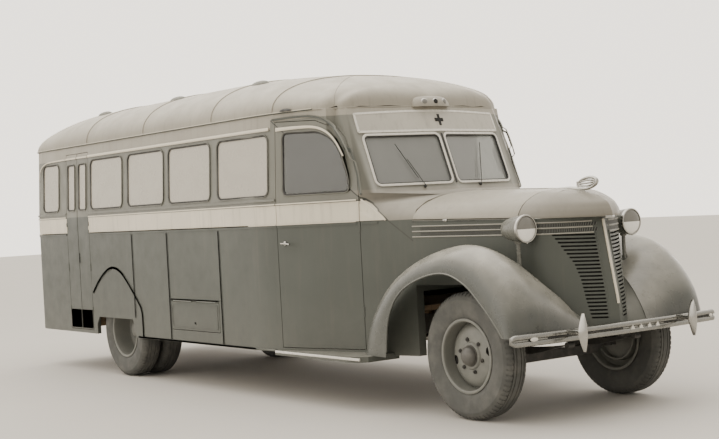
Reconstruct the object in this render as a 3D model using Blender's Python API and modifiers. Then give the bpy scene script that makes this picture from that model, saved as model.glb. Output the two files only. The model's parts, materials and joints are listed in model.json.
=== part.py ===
"""Bus-bodied military ambulance truck: frame, axles, body, doors, bonnet, fenders and wheels.

Metres, +X forward, +Y left, +Z up, with the ground at Z = 0 and the origin under the middle of the box.
"""
import math

import bmesh
import bpy
from mathutils import Matrix, Vector
from mathutils.bvhtree import BVHTree

# Wheels and stance
WHEELBASE = 5.10
FRONT_OVERHANG = 0.95
REAR_OVERHANG = 2.15
TYRE_RADIUS = 0.47
TYRE_WIDTH = 0.21
FRONT_TYRE_Y = 0.77
REAR_OUTER_Y = 0.995
REAR_INNER_Y = 0.75
RIM_RADIUS = 0.262
HANDLE_OUT = 0.035
FRONT_X = (HANDLE_OUT + REAR_OVERHANG + WHEELBASE - FRONT_OVERHANG) / 2
REAR_X = FRONT_X - WHEELBASE
BODY_REAR_X = REAR_X - REAR_OVERHANG
TIP_X = FRONT_X + FRONT_OVERHANG

# Body shell
BODY_HALF = 1.15
BODY_BOTTOM = 0.417
BELT_Z = 1.65
DRIP_Z = 2.42
DRIP_SHARE = 0.965
CROWN_RISE = 0.43
CORNER_RADIUS = 0.30
WALL = 0.045
TAPER_START = FRONT_X - 2.40
TAPER_FULL = FRONT_X - 1.80
TAPER_SLOPE = 0.30
SEAM_X = FRONT_X - 0.70
COWL_EDGE_Z = 1.485
SCREEN_BASE_Z = 1.71

BELT_MOULDING = (1.463, 1.481)
MOULDING_OUT = 0.006
MOULDING_STOP = 0.022
DRIP_RAIL_OUT = 0.008
DRIP_RAIL_HIGH = 0.010
DRIP_RAIL_END = -1.62
EYEBROW_WIDTH = 0.022
EYEBROW = ((-5.662, 0.852), (-5.60, 0.905), (-5.495, 0.987), (-5.34, 1.075), (-5.185, 1.118), (-5.03, 1.092),
           (-4.899, 1.017), (-4.73, 0.875), (-4.60, 0.752), (-4.565, 0.70), (-4.549, 0.62), (-4.549, 0.435))
MARKER_HALF = 0.195
MARKER_TIP_X = -1.215
MARKER_BACK_X = -1.42
MARKER_DEEP = 0.12

# Gaps
SEAT = 0.0003
SHUT = 0.006

# Door and window places, measured from the front axle
CAB_DOOR = (-2.05, -1.20)
CAB_DOOR_BOTTOM = 0.46
WARD_DOOR = (-6.25, -5.70)
WARD_DOOR_TOP = 2.34
REAR_DOOR_HALF = 0.58
REAR_DOOR_BOTTOM = 0.60
REAR_DOOR_TOP = 2.30
WINDOW_BOTTOM = 1.736
WINDOW_TOP = 2.25
SIDE_WINDOWS = ((-5.62, -4.885), (-4.745, -3.995), (-3.88, -3.10), (-2.955, -2.15))
QUARTER_WINDOW = (-6.86, -6.45)
LOCKER = (-3.944, -3.036, 0.54, 0.805)
ARCH = (-5.61, -4.72, 0.60)

# Steps under the cab doors
STEP_TOP = 0.435
STEP_OUTER_Y = 1.147
STEP_THICK = 0.045

# Frame and running gear
RAIL_OUTER_Y = 0.38
RAIL_FLANGE = 0.065
RAIL_BOTTOM = 0.55
RAIL_TOP = 0.71
FLOOR_TOP = 0.80
FLOOR_THICK = 0.04
KINGPIN_Y = 0.62
BEAM_TOP = 0.43
AXLE_RADIUS = 0.05
AXLE_Z = TYRE_RADIUS

PARTS = bpy.data.collections.new("ambulance_truck")
CUTTERS = bpy.data.collections.new("cutters")


def fa(distance):
    """A place along X given from the front axle."""
    return FRONT_X + distance


def reset_scene():
    for obj in list(bpy.data.objects):
        bpy.data.objects.remove(obj, do_unlink=True)
    for collection in (PARTS, CUTTERS):
        bpy.context.scene.collection.children.link(collection)


def material(name, color, roughness, metallic=0.0):
    mat = bpy.data.materials.new(name)
    mat.use_nodes = True
    shader = mat.node_tree.nodes["Principled BSDF"]
    shader.inputs["Base Color"].default_value = (*color, 1.0)
    shader.inputs["Roughness"].default_value = roughness
    shader.inputs["Metallic"].default_value = metallic
    return mat


def face_outwards(bm):
    """Make a closed mesh's faces point out."""
    bmesh.ops.recalc_face_normals(bm, faces=bm.faces)
    if bm.calc_volume(signed=True) < 0:
        bmesh.ops.reverse_faces(bm, faces=bm.faces)


def mesh_object(name, bm):
    """Turn a bmesh into an object without a collection yet."""
    mesh = bpy.data.meshes.new(name)
    bm.to_mesh(mesh)
    bm.free()
    obj = bpy.data.objects.new(name, mesh)
    return obj


def box(name, low, high):
    """A box between two corners."""
    bm = bmesh.new()
    bmesh.ops.create_cube(bm, size=1.0)
    size = [b - a for a, b in zip(low, high)]
    middle = [(a + b) / 2 for a, b in zip(low, high)]
    bmesh.ops.scale(bm, vec=size, verts=bm.verts)
    bmesh.ops.translate(bm, vec=middle, verts=bm.verts)
    return mesh_object(name, bm)


def rod(name, start, end, radius, sides=16, end_radius=None):
    """A cylinder or cone between two points."""
    start, end = Vector(start), Vector(end)
    axis = end - start
    bm = bmesh.new()
    bmesh.ops.create_cone(
        bm, cap_ends=True, segments=sides, radius1=radius,
        radius2=radius if end_radius is None else end_radius, depth=axis.length,
    )
    turn = axis.to_track_quat("Z", "Y").to_matrix().to_4x4()
    bmesh.ops.transform(bm, matrix=Matrix.Translation((start + end) / 2) @ turn, verts=bm.verts)
    return mesh_object(name, bm)


def prism(name, points, axis, low, high):
    """A flat outline of (a, b) points swept along an axis; the outline lies in the two other axes."""
    order = {"X": (1, 2, 0), "Y": (0, 2, 1), "Z": (0, 1, 2)}[axis]
    bm = bmesh.new()
    rings = []
    for level in (low, high):
        ring = []
        for a, b in points:
            co = [0.0, 0.0, 0.0]
            co[order[0]], co[order[1]], co[order[2]] = a, b, level
            ring.append(bm.verts.new(co))
        rings.append(ring)
    bm.faces.new(rings[0])
    bm.faces.new(rings[1])
    count = len(points)
    for i in range(count):
        j = (i + 1) % count
        bm.faces.new((rings[0][i], rings[0][j], rings[1][j], rings[1][i]))
    face_outwards(bm)
    return mesh_object(name, bm)


def loft(name, rings):
    """Closed rings of points joined one to the next, with both ends closed."""
    bm = bmesh.new()
    loops = [[bm.verts.new(p) for p in ring] for ring in rings]
    count = len(loops[0])
    for a, b in zip(loops, loops[1:]):
        for i in range(count):
            j = (i + 1) % count
            bm.faces.new((a[i], a[j], b[j], b[i]))
    bm.faces.new(loops[0])
    bm.faces.new(loops[-1])
    face_outwards(bm)
    return mesh_object(name, bm)


def pipe(name, points, radius, sides=10):
    """A round pipe along a path of points."""
    curve = bpy.data.curves.new(name, "CURVE")
    curve.dimensions = "3D"
    curve.bevel_depth = radius
    curve.bevel_resolution = sides // 2 - 2
    curve.use_fill_caps = True
    spline = curve.splines.new("POLY")
    spline.points.add(len(points) - 1)
    for point, co in zip(spline.points, points):
        point.co = (*co, 1.0)
    obj = evaluated(bpy.data.objects.new(name, curve))
    bpy.data.curves.remove(curve)
    return obj


def turned(name, profile, centre, sides, flip=1.0):
    """A profile of (radius, y) pairs turned round the Y axis through centre."""
    bm = bmesh.new()
    verts = [bm.verts.new((r, flip * y, 0.0)) for r, y in profile]
    for a, b in zip(verts, verts[1:] + verts[:1]):
        bm.edges.new((a, b))
    bmesh.ops.spin(
        bm, geom=bm.verts[:] + bm.edges[:], cent=(0, 0, 0), axis=(0, 1, 0),
        angle=math.tau, steps=sides, use_merge=True,
    )
    bmesh.ops.remove_doubles(bm, verts=bm.verts, dist=0.00005)
    face_outwards(bm)
    bmesh.ops.translate(bm, vec=centre, verts=bm.verts)
    return mesh_object(name, bm)


def evaluated(obj):
    """Bake an object's modifiers and place into a fresh mesh object, and remove the old one."""
    if not obj.users_collection:
        PARTS.objects.link(obj)
    bpy.context.view_layer.update()
    graph = bpy.context.evaluated_depsgraph_get()
    mesh = bpy.data.meshes.new_from_object(obj.evaluated_get(graph))
    mesh.transform(obj.matrix_world)
    name = obj.name
    bpy.data.objects.remove(obj, do_unlink=True)
    bm = bmesh.new()
    bm.from_mesh(mesh)
    bmesh.ops.remove_doubles(bm, verts=bm.verts, dist=0.00002)
    # a cut can leave a hair-thin triangle open
    rim = [edge for edge in bm.edges if edge.is_boundary]
    if rim:
        bmesh.ops.holes_fill(bm, edges=rim, sides=4)
    bm.to_mesh(mesh)
    bm.free()
    return bpy.data.objects.new(name, mesh)


def boolean(obj, other, operation):
    """Join, cut or intersect obj with other, which becomes a hidden cutter."""
    if not obj.users_collection:
        PARTS.objects.link(obj)
    if not other.users_collection:
        CUTTERS.objects.link(other)
    other.name = "cutter"
    other.hide_render = True
    other.display_type = "WIRE"
    mod = obj.modifiers.new(operation.lower(), "BOOLEAN")
    mod.operation = operation
    mod.solver = "EXACT"
    mod.object = other
    return evaluated(obj)


def cut(obj, *others):
    for other in others:
        obj = boolean(obj, other, "DIFFERENCE")
    return obj


def join(obj, *others):
    for other in others:
        obj = boolean(obj, other, "UNION")
    return obj


def common(obj, other):
    return boolean(obj, other, "INTERSECT")


def bundle(name, pieces):
    """Several separate closed shapes as one mesh, to cut with in one go."""
    bm = bmesh.new()
    for piece in pieces:
        bm.from_mesh(piece.data)
        bpy.data.objects.remove(piece, do_unlink=True)
    return mesh_object(name, bm)


PIN_CLEAR = 0.003
PIN_RADIUS = 0.008


def hinge(fixed, moving, point, direction, stations, radius=PIN_RADIUS):
    """Give two pieces the barrels of a hinge on a shared axis.

    Each station is the span of one pair of barrels along the direction; the fixed piece has the first half.
    """
    start, along = Vector(point), Vector(direction).normalized()

    def barrels(name, spans, size):
        return bundle(name, [rod(name, start + along * a, start + along * b, size, 8) for a, b in spans])

    middles = [(a, (a + b) / 2, b) for a, b in stations]
    half = SEAT / 2
    deep = 0.0005
    wide = radius + PIN_CLEAR
    fixed = cut(fixed, barrels("seat", [(m - half - deep, b + PIN_CLEAR) for a, m, b in middles], wide))
    fixed = join(fixed, barrels("barrel", [(a, m - half) for a, m, b in middles], radius))
    moving = cut(moving, barrels("seat", [(a - PIN_CLEAR, m + half + deep) for a, m, b in middles], wide))
    moving = join(moving, barrels("barrel", [(m + half, b) for a, m, b in middles], radius))
    return fixed, moving


def copy_of(obj, name):
    return bpy.data.objects.new(name, obj.data.copy())


def mirrored(obj, name):
    """The same piece on the other side of the centre line."""
    bm = bmesh.new()
    bm.from_mesh(obj.data)
    bmesh.ops.transform(bm, matrix=Matrix.Scale(-1.0, 4, (0, 1, 0)), verts=bm.verts)
    bmesh.ops.reverse_faces(bm, faces=bm.faces)
    mesh = bpy.data.meshes.new(name)
    bm.to_mesh(mesh)
    bm.free()
    return bpy.data.objects.new(name, mesh)


def triangles(obj):
    """Split every face into triangles, so that nothing is bent."""
    bm = bmesh.new()
    bm.from_mesh(obj.data)
    bmesh.ops.triangulate(bm, faces=bm.faces)
    bm.to_mesh(obj.data)
    bm.free()


def flatten(obj):
    """Join the faces that lie in one plane."""
    bm = bmesh.new()
    bm.from_mesh(obj.data)
    bmesh.ops.dissolve_limit(bm, angle_limit=0.0005, verts=bm.verts, edges=bm.edges)
    bm.to_mesh(obj.data)
    bm.free()


def finish(obj, name, mat, origin=None, angle=35.0):
    """Name a piece, give it its material and put its origin on its joint's axis."""
    obj.name = name
    obj.data.name = name
    flatten(obj)
    obj.data.materials.clear()
    obj.data.materials.append(mat)
    obj.data.shade_smooth()
    obj.data.set_sharp_from_angle(angle=math.radians(angle))
    if origin is not None:
        obj.data.transform(Matrix.Translation(-Vector(origin)))
        obj.location = origin
    if not obj.users_collection:
        PARTS.objects.link(obj)
    return obj


def half_grid_shell(name, rows, thickness):
    """A sheet of rows of points on the left half, mirrored and given a thickness inwards."""
    bm = bmesh.new()
    grid = [[bm.verts.new(p) for p in row] for row in rows]
    for lower, upper in zip(grid, grid[1:]):
        for i in range(len(lower) - 1):
            bm.faces.new((lower[i], upper[i], upper[i + 1], lower[i + 1]))
    bmesh.ops.recalc_face_normals(bm, faces=bm.faces)
    obj = mesh_object(name, bm)
    mirror = obj.modifiers.new("mirror", "MIRROR")
    mirror.use_axis = (False, True, False)
    mirror.merge_threshold = 0.0001
    shell = obj.modifiers.new("wall", "SOLIDIFY")
    shell.thickness = thickness
    shell.offset = -1.0
    shell.use_even_offset = True
    return evaluated(obj)


def side_y(x):
    """Half width of the body and bonnet below the belt."""
    if x < TAPER_START:
        return BODY_HALF
    run = TAPER_FULL - TAPER_START
    if x < TAPER_FULL:
        return BODY_HALF - TAPER_SLOPE / (2 * run) * (x - TAPER_START) ** 2
    return BODY_HALF - TAPER_SLOPE * run / 2 - TAPER_SLOPE * (x - TAPER_FULL)


def corner_points():
    """The rear corner in plan, from the rear face round to the side."""
    points = []
    for step in range(5):
        angle = math.radians(22.5 * step)
        points.append((
            BODY_REAR_X + CORNER_RADIUS * (1 - math.cos(angle)),
            BODY_HALF - CORNER_RADIUS * (1 - math.sin(angle)),
        ))
    return points


# the roof's ridge stops short of the walls at both ends, and the columns meet it one after another
REAR_RIDGE_RUN = 0.60
FRONT_RIDGE_RUN = 0.90
RIDGE_STEP = 0.06
SIDE_STATIONS = (-6.2, -4.75, -3.04, -2.40, -2.10, -1.80, -1.50)
ROOF_SHARES = (0.985, 0.94, 0.86, 0.74, 0.56, 0.32, 0.0)
FRONT_DOME_RUN = 2.77
REAR_DOME_RUN = 1.20
DOME_POWER = 2.5
SECTION_POWER = 2.3
SCREEN_RAKE = 0.40
CROWN_Z = DRIP_Z + CROWN_RISE


def front_columns(z):
    """Plan points from the front post to the centre line at a height."""
    if z <= COWL_EDGE_Z:
        places = (-1.20, -1.05, -0.85)
        points = [(fa(x), side_y(fa(x))) for x in places]
        edge = side_y(SEAM_X)
        return points + [(SEAM_X, edge), (SEAM_X, edge / 2), (SEAM_X, 0.0)]
    if z < SCREEN_BASE_Z:
        rise = (z - COWL_EDGE_Z) / (SCREEN_BASE_Z - COWL_EDGE_Z)
        share = math.sqrt(1 - rise * rise)
        edge = side_y(SEAM_X) * share
        return [
            (fa(-1.20), side_y(fa(-1.20))),
            (fa(-1.12), side_y(fa(-1.12)) * (0.7 + 0.3 * share)),
            (fa(-0.92), side_y(fa(-0.92)) * (0.35 + 0.65 * share)),
            (SEAM_X, edge), (SEAM_X, edge / 2), (SEAM_X, 0.0),
        ]
    back = SCREEN_RAKE * (z - SCREEN_BASE_Z)
    plan = ((-1.20, side_y(fa(-1.20))), (-1.165, 0.872), (-1.135, 0.83), (-1.125, 0.75), (-1.06, 0.375), (-0.985, 0))
    return [(fa(x) - back, y) for x, y in plan]


def wall_share(z):
    """The walls lean in from the belt up to the drip."""
    return 1.0 - (1.0 - DRIP_SHARE) * max(0.0, z - BELT_Z) / (DRIP_Z - BELT_Z)


def body_outline(z):
    """Plan of the left half at a height, from the rear centre to the front centre."""
    points = [(BODY_REAR_X, 0.0)] + [(BODY_REAR_X, BODY_HALF - 2 * CORNER_RADIUS)] + corner_points()
    points += [(fa(x), side_y(fa(x))) for x in SIDE_STATIONS] + front_columns(z)
    share = wall_share(z)
    return [(x, y * share) for x, y in points]


def outline_half(x, z):
    """Half width of the body's faceted outline at x and z."""
    points = sorted(body_outline(z)[2:])
    if x <= points[0][0]:
        return points[0][1]
    for (xa, ya), (xb, yb) in zip(points, points[1:]):
        if x <= xb:
            return ya + (yb - ya) * (x - xa) / max(xb - xa, 1e-6)
    return points[-1][1]


def drip_half(x):
    """Half width of the roof's edge at x."""
    return outline_half(x, DRIP_Z)


def roof_z(x, share):
    """Height of the roof at x, at a share of the half width."""
    ends = body_outline(DRIP_Z)
    front_u = 1 - (ends[-1][0] - x) / FRONT_DOME_RUN
    rear_u = 1 - (x - ends[0][0]) / REAR_DOME_RUN
    u = min(max(front_u, rear_u, 0.0), 1.0)
    rise = CROWN_RISE * (1 - u ** DOME_POWER) ** (1 / DOME_POWER)
    share = min(share, 1.0)
    return DRIP_Z + rise * (1 - share ** SECTION_POWER) ** (1 / SECTION_POWER)


def body_rows():
    """Rows of points for the whole body, from the bottom edge up to the ridge."""
    rows = []
    for z in (BODY_BOTTOM, 0.95, COWL_EDGE_Z, 1.56, 1.62, 1.67, SCREEN_BASE_Z, DRIP_Z):
        rows.append([(x, y, z) for x, y in body_outline(z)])
    drip = body_outline(DRIP_Z)
    last = len(drip) - 1
    for share in ROOF_SHARES:
        row = []
        for i, (x, y) in enumerate(drip):
            ridge = max(x, drip[0][0] + REAR_RIDGE_RUN + RIDGE_STEP * i)
            ridge = min(ridge, drip[last][0] - FRONT_RIDGE_RUN - RIDGE_STEP * (last - i))
            px = ridge + (x - ridge) * share
            py = y * share
            row.append((px, py, roof_z(px, py / drip_half(px))))
        rows.append(row)
    return rows


def window(points, side, axis="Y"):
    """A cutter for a window in a side wall; side is 1 for left and -1 for right."""
    low, high = (0.5, 1.3) if side > 0 else (-1.3, -0.5)
    return prism("window", points, axis, low, high)


def rounded(x0, x1, z0, z1, radius=0.06, steps=3):
    """A rectangle with round corners as (x, z) points."""
    points = []
    corners = ((x1 - radius, z1 - radius, 0), (x0 + radius, z1 - radius, 90),
               (x0 + radius, z0 + radius, 180), (x1 - radius, z0 + radius, 270))
    for cx, cz, start in corners:
        for step in range(steps + 1):
            angle = math.radians(start + 90 * step / steps)
            points.append((cx + radius * math.cos(angle), cz + radius * math.sin(angle)))
    return points


def cab_door_outline(grow):
    """The cab door's outline in (x, z), larger by grow on every side."""
    rear, front = CAB_DOOR
    points = [
        (rear - grow, CAB_DOOR_BOTTOM - grow), (front + grow, CAB_DOOR_BOTTOM - grow),
        (front + grow, 1.71), (front - 0.025 + grow, 1.85), (front - 0.09 + grow, 2.02),
        (front - 0.17 + grow * 0.9, 2.17 + grow * 0.4), (front - 0.27 + grow * 0.7, 2.27 + grow * 0.7),
        (front - 0.42 + grow * 0.3, 2.33 + grow), (rear - grow, 2.35 + grow),
    ]
    return [(fa(x), z) for x, z in points]


CAB_WINDOW = ((-1.96, 1.736), (-1.28, 1.736), (-1.30, 1.87), (-1.37, 2.06), (-1.45, 2.17), (-1.58, 2.235),
              (-1.96, 2.25))


# hinge axes lie just inside the outer skin, and their barrels stand a little proud of it
PIN_INSET = 0.002
CAB_HINGES = ((0.72, 0.80), (1.40, 1.48))
WARD_HINGES = ((0.62, 0.70), (1.08, 1.16), (1.52, 1.60))
REAR_HINGES = ((0.75, 0.83), (1.40, 1.48), (2.10, 2.18))


def body_panels(mats):
    """Roof, walls, cab shell, doors: all cut from one shell so that they line up."""
    shell = half_grid_shell("body_shell", body_rows(), WALL)
    far = 9.0
    roof = common(copy_of(shell, "roof"), box("above", (-far, -far, DRIP_Z), (far, far, far)))
    walls = cut(shell, box("above", (-far, -far, DRIP_Z - SEAT), (far, far, far)))
    # one raised moulding round the sides and back under the waist band
    low, high = BELT_MOULDING
    ring = prism("ring", inset_plan(low, -MOULDING_OUT), "Z", low, high)
    stops = [box("ring_front", (fa(-1.02), -far, 0), (far, far, far)),
             box("ward_stop", (fa(WARD_DOOR[0]) - MOULDING_STOP, -far, 0), (fa(WARD_DOOR[1]) + MOULDING_STOP, 0, far)),
             box("cab_stop", (fa(CAB_DOOR[1]) - MOULDING_STOP, -far, 0), (fa(CAB_DOOR[1]) + MOULDING_STOP, far, far))]
    for side in (-1, 1):
        low_y, high_y = sorted((side * (REAR_DOOR_HALF - MOULDING_STOP), side * (REAR_DOOR_HALF + MOULDING_STOP)))
        stops.append(box("rear_stop", (-far, low_y, 0), (BODY_REAR_X + 0.1, high_y, far)))
    ring = cut(ring, prism("ring_room", inset_plan(low, 0.02), "Z", low - 0.1, high + 0.1), *stops)
    walls = join(walls, ring)
    rail = prism("drip_rail", inset_plan(DRIP_Z, -DRIP_RAIL_OUT), "Z", DRIP_Z, DRIP_Z + DRIP_RAIL_HIGH)
    rail = cut(rail, prism("rail_room", inset_plan(DRIP_Z, 0.02), "Z", DRIP_Z - 0.1, DRIP_Z + 0.1),
               box("rail_front", (fa(DRIP_RAIL_END), -far, 0), (far, far, far)))
    roof = join(roof, rail)
    roof = join(roof, marker_unit())
    finish(roof, "roof", mats["light"])

    post_x = fa(CAB_DOOR[0] - 0.06)
    # cab shell: cowl, windscreen frame, front posts and the headers over the doors
    cab = common(copy_of(walls, "cab"), box("ahead", (post_x, -far, 0), (far, far, far)))
    doors = {}
    for side, word in ((-1, "right"), (1, "left")):
        low, high = (0.5, 1.3) if side > 0 else (-1.3, -0.5)
        leaf = common(copy_of(cab, "leaf"), prism("door", cab_door_outline(0.0), "Y", low, high))
        leaf = cut(leaf, window([(fa(x), z) for x, z in CAB_WINDOW], side))
        doors[word] = leaf
        cab = cut(cab, prism("doorway", cab_door_outline(SHUT), "Y", low, high))
        axis_x = fa(CAB_DOOR[1]) + SHUT / 2
        axis = (axis_x, side * (outline_half(axis_x, 1.0) - PIN_INSET), 0.0)
        cab, leaf = hinge(cab, leaf, axis, (0, 0, 1), CAB_HINGES)
        finish(leaf, word + "_cab_door", mats["dark"], (axis[0], axis[1], 1.2))
    # legroom and frame clearance under the firewall
    cab = cut(cab, box("tunnel", (fa(-1.0), -0.66, 0.3), (far, 0.66, 0.92)))
    screens = []
    for side in (-1, 1):
        a, b = (0.035, 0.715) if side > 0 else (-0.715, -0.035)
        screens.append(box("screen", (fa(-1.6), a, 1.775), (far, b, 2.175)))
    cab = cut(cab, *screens)
    finish(cab, "cab_shell", mats["dark"])

    # side and rear walls
    rear_face = (-far, -0.72, 0), (BODY_REAR_X + 0.15, 0.72, far)
    rear = common(copy_of(walls, "rear"), box("rear_region", *rear_face))
    sides = {}
    for side, word in ((-1, "right"), (1, "left")):
        low, high = (0.72 + SEAT, far) if side > 0 else (-far, -0.72 - SEAT)
        wall = common(copy_of(walls, word), box("side", (-far, low, 0), (post_x - SEAT, high, far)))
        cutters = []
        for x0, x1 in SIDE_WINDOWS:
            cutters.append(window(rounded(fa(x0), fa(x1), WINDOW_BOTTOM, WINDOW_TOP), side))
        cutters.append(window(rounded(fa(QUARTER_WINDOW[0]), fa(QUARTER_WINDOW[1]), WINDOW_BOTTOM, WINDOW_TOP), side))
        arch = [(fa(ARCH[0]), 0.3), (fa(ARCH[1]), 0.3), (fa(ARCH[1]), ARCH[2] - 0.08),
                (fa(ARCH[1]) - 0.06, ARCH[2]), (fa(ARCH[0]) + 0.06, ARCH[2]), (fa(ARCH[0]), ARCH[2] - 0.08)]
        cutters.append(window(arch, side))
        pocket_y = (1.0, 1.135) if side > 0 else (-1.135, -1.0)
        cutters.append(box("pocket", (REAR_X - 0.52, pocket_y[0], 0.3), (REAR_X + 0.52, pocket_y[1], 1.0)))
        if word == "right":
            x0, x1, z0, z1 = LOCKER
            flap_box = window(rounded(fa(x0), fa(x1), z0, z1, 0.01, 1), side)
            flap = common(copy_of(wall, "flap"), flap_box)
            flap = cut(flap, box("thin", (-far, -1.13, 0), (far, 0, far)))
            cutters.append(window(rounded(fa(x0) - SHUT, fa(x1) + SHUT, z0 - SHUT, z1 + SHUT, 0.01, 1), side))
            leaves = ward_door(wall, cutters)
        wall = cut(wall, *cutters)
        wall = join(wall, eyebrow(side))
        if word == "right":
            axis = (fa((x0 + x1) / 2), PIN_INSET - BODY_HALF, z1 + SHUT / 2)
            wall, flap = hinge(wall, flap, axis, (1, 0, 0), ((-0.40, -0.05), (0.05, 0.40)))
            finish(flap, "locker_flap", mats["dark"], axis)
            for name, leaf, axis_x in leaves:
                axis = (axis_x, PIN_INSET - BODY_HALF, 0.0)
                wall, leaf = hinge(wall, leaf, axis, (0, 0, 1), WARD_HINGES)
                finish(leaf, name, mats["dark"], (axis[0], axis[1], 1.4))
        finish(wall, word + "_wall", mats["dark"])

    way = box("rear_way", (-far, -REAR_DOOR_HALF - SHUT, REAR_DOOR_BOTTOM - SHUT),
              (far, REAR_DOOR_HALF + SHUT, REAR_DOOR_TOP + SHUT))
    frame = cut(copy_of(rear, "rear_frame"), way)
    for side, word in ((-1, "right"), (1, "left")):
        y0, y1 = (0.004, REAR_DOOR_HALF) if side > 0 else (-REAR_DOOR_HALF, -0.004)
        leaf = common(copy_of(rear, word), box("rear_leaf", (-far, y0, REAR_DOOR_BOTTOM), (far, y1, REAR_DOOR_TOP)))
        pane = rounded(min(side * 0.09, side * 0.49), max(side * 0.09, side * 0.49), WINDOW_BOTTOM, 2.2)
        leaf = cut(leaf, prism("pane", pane, "X", BODY_REAR_X - 0.2, BODY_REAR_X + 0.2))
        handle_y = side * 0.05
        handle = box("handle", (BODY_REAR_X - HANDLE_OUT, handle_y - 0.01, 1.25), (BODY_REAR_X + 0.01, handle_y + 0.01, 1.45))
        handle = cut(handle, box("grip", (BODY_REAR_X - 0.02, -1, 1.28), (BODY_REAR_X - SEAT, 1, 1.42)))
        leaf = join(leaf, handle)
        axis = (BODY_REAR_X + PIN_INSET, side * (REAR_DOOR_HALF + SHUT / 2), 0.0)
        frame, leaf = hinge(frame, leaf, axis, (0, 0, 1), REAR_HINGES)
        finish(leaf, word + "_rear_door", mats["dark"], (axis[0], axis[1], 1.4))
    bpy.data.objects.remove(rear, do_unlink=True)
    finish(frame, "rear_wall", mats["dark"])


def eyebrow(side):
    """The raised bead that arches over the rear wheel, on one side's wall."""
    outer, inner = [], []
    for i, (x, z) in enumerate(EYEBROW):
        (xa, za), (xb, zb) = EYEBROW[max(i - 1, 0)], EYEBROW[min(i + 1, len(EYEBROW) - 1)]
        away = Vector((za - zb, xb - xa)).normalized() * EYEBROW_WIDTH / 2
        outer.append((fa(x + away.x), z + away.y))
        inner.append((fa(x - away.x), z - away.y))
    low, high = sorted((side * (BODY_HALF - WALL / 2), side * (BODY_HALF + MOULDING_OUT)))
    return prism("eyebrow", outer + inner[::-1], "Y", low, high)


def marker_unit():
    """The rounded housing of the marker lamps over the windscreen, fused to the roof's front."""
    rings = []
    for z, share in ((DRIP_Z, 1.0), (DRIP_Z + 0.045, 1.0), (DRIP_Z + 0.075, 0.86), (DRIP_Z + 0.090, 0.55)):
        nose = MARKER_TIP_X - MARKER_DEEP * (1 - share)
        half = MARKER_HALF * (0.5 + 0.5 * share)
        plan = [(MARKER_BACK_X, -half)] + [
            (nose - 0.075 * (1 - math.sqrt(1 - turn * turn)), half * turn) for turn in (-1.0, -0.85, -0.5, 0.0, 0.5, 0.85, 1.0)
        ] + [(MARKER_BACK_X, half)]
        rings.append([(fa(x), y, z) for x, y in plan])
    return loft("marker_unit", rings)


def ward_door(wall, cutters):
    """Two narrow leaves in the right wall, each hinged on its own post, as (name, piece, x of the axis)."""
    rear, front = WARD_DOOR
    leaves = []
    middle = (rear + front) / 2
    for word, x0, x1, post in (("rear", rear, middle - 0.005, rear), ("front", middle + 0.005, front, front)):
        outline = [(fa(x0), 0.457), (fa(x1), 0.457), (fa(x1), WARD_DOOR_TOP), (fa(x0), WARD_DOOR_TOP)]
        leaf = common(copy_of(wall, "leaf"), prism("leaf_way", outline, "Y", -1.3, -0.9))
        cut_in = prism("inner", [(-1.118, 0.3), (-1.118, 1.65), (-1.118 * wall_share(2.4), 2.4), (-0.8, 2.4), (-0.8, 0.3)],
                       "X", fa(rear) - 0.1, fa(front) + 0.1)
        leaf = cut(leaf, cut_in, window(rounded(fa(x0 + 0.05), fa(x1 - 0.05), WINDOW_BOTTOM, 2.222, 0.03), -1))
        away = -SHUT / 2 if word == "rear" else SHUT / 2
        leaves.append(("ward_door_" + word, leaf, fa(post) + away))
    outline = [(fa(rear) - SHUT, 0.457 - SHUT), (fa(front) + SHUT, 0.457 - SHUT),
               (fa(front) + SHUT, WARD_DOOR_TOP + SHUT), (fa(rear) - SHUT, WARD_DOOR_TOP + SHUT)]
    cutters.append(prism("ward_way", outline, "Y", -1.3, -0.9))
    return leaves


def inset_plan(z, gap):
    """The body's plan at a height, moved inwards by gap, as one closed outline."""
    half = body_outline(z)
    half = [p for i, p in enumerate(half) if i == 0 or math.dist(p, half[i - 1]) > 0.001]
    full = half + [(x, -y) for x, y in reversed(half[1:-1])]
    # drop points in the middle of straight runs, then offset each edge and meet its neighbours
    keep = []
    count = len(full)
    for i, p in enumerate(full):
        a, b = full[i - 1], full[(i + 1) % count]
        turn = (p[0] - a[0]) * (b[1] - p[1]) - (p[1] - a[1]) * (b[0] - p[0])
        if abs(turn) > 1e-6:
            keep.append(p)
    lines = []
    count = len(keep)
    area = sum(keep[i - 1][0] * keep[i][1] - keep[i][0] * keep[i - 1][1] for i in range(count))
    sign = 1.0 if area > 0 else -1.0
    for i in range(count):
        (xa, ya), (xb, yb) = keep[i], keep[(i + 1) % count]
        length = math.hypot(xb - xa, yb - ya)
        nx, ny = -(yb - ya) / length * sign, (xb - xa) / length * sign
        lines.append((nx, ny, nx * xa + ny * ya + gap))
    points = []
    for i in range(count):
        (a1, b1, c1), (a2, b2, c2) = lines[i - 1], lines[i]
        det = a1 * b2 - a2 * b1
        points.append(((c1 * b2 - c2 * b1) / det, (a1 * c2 - a2 * c1) / det))
    return points


WHEEL_BOX = (0.54, 0.60, 1.02)


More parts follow.
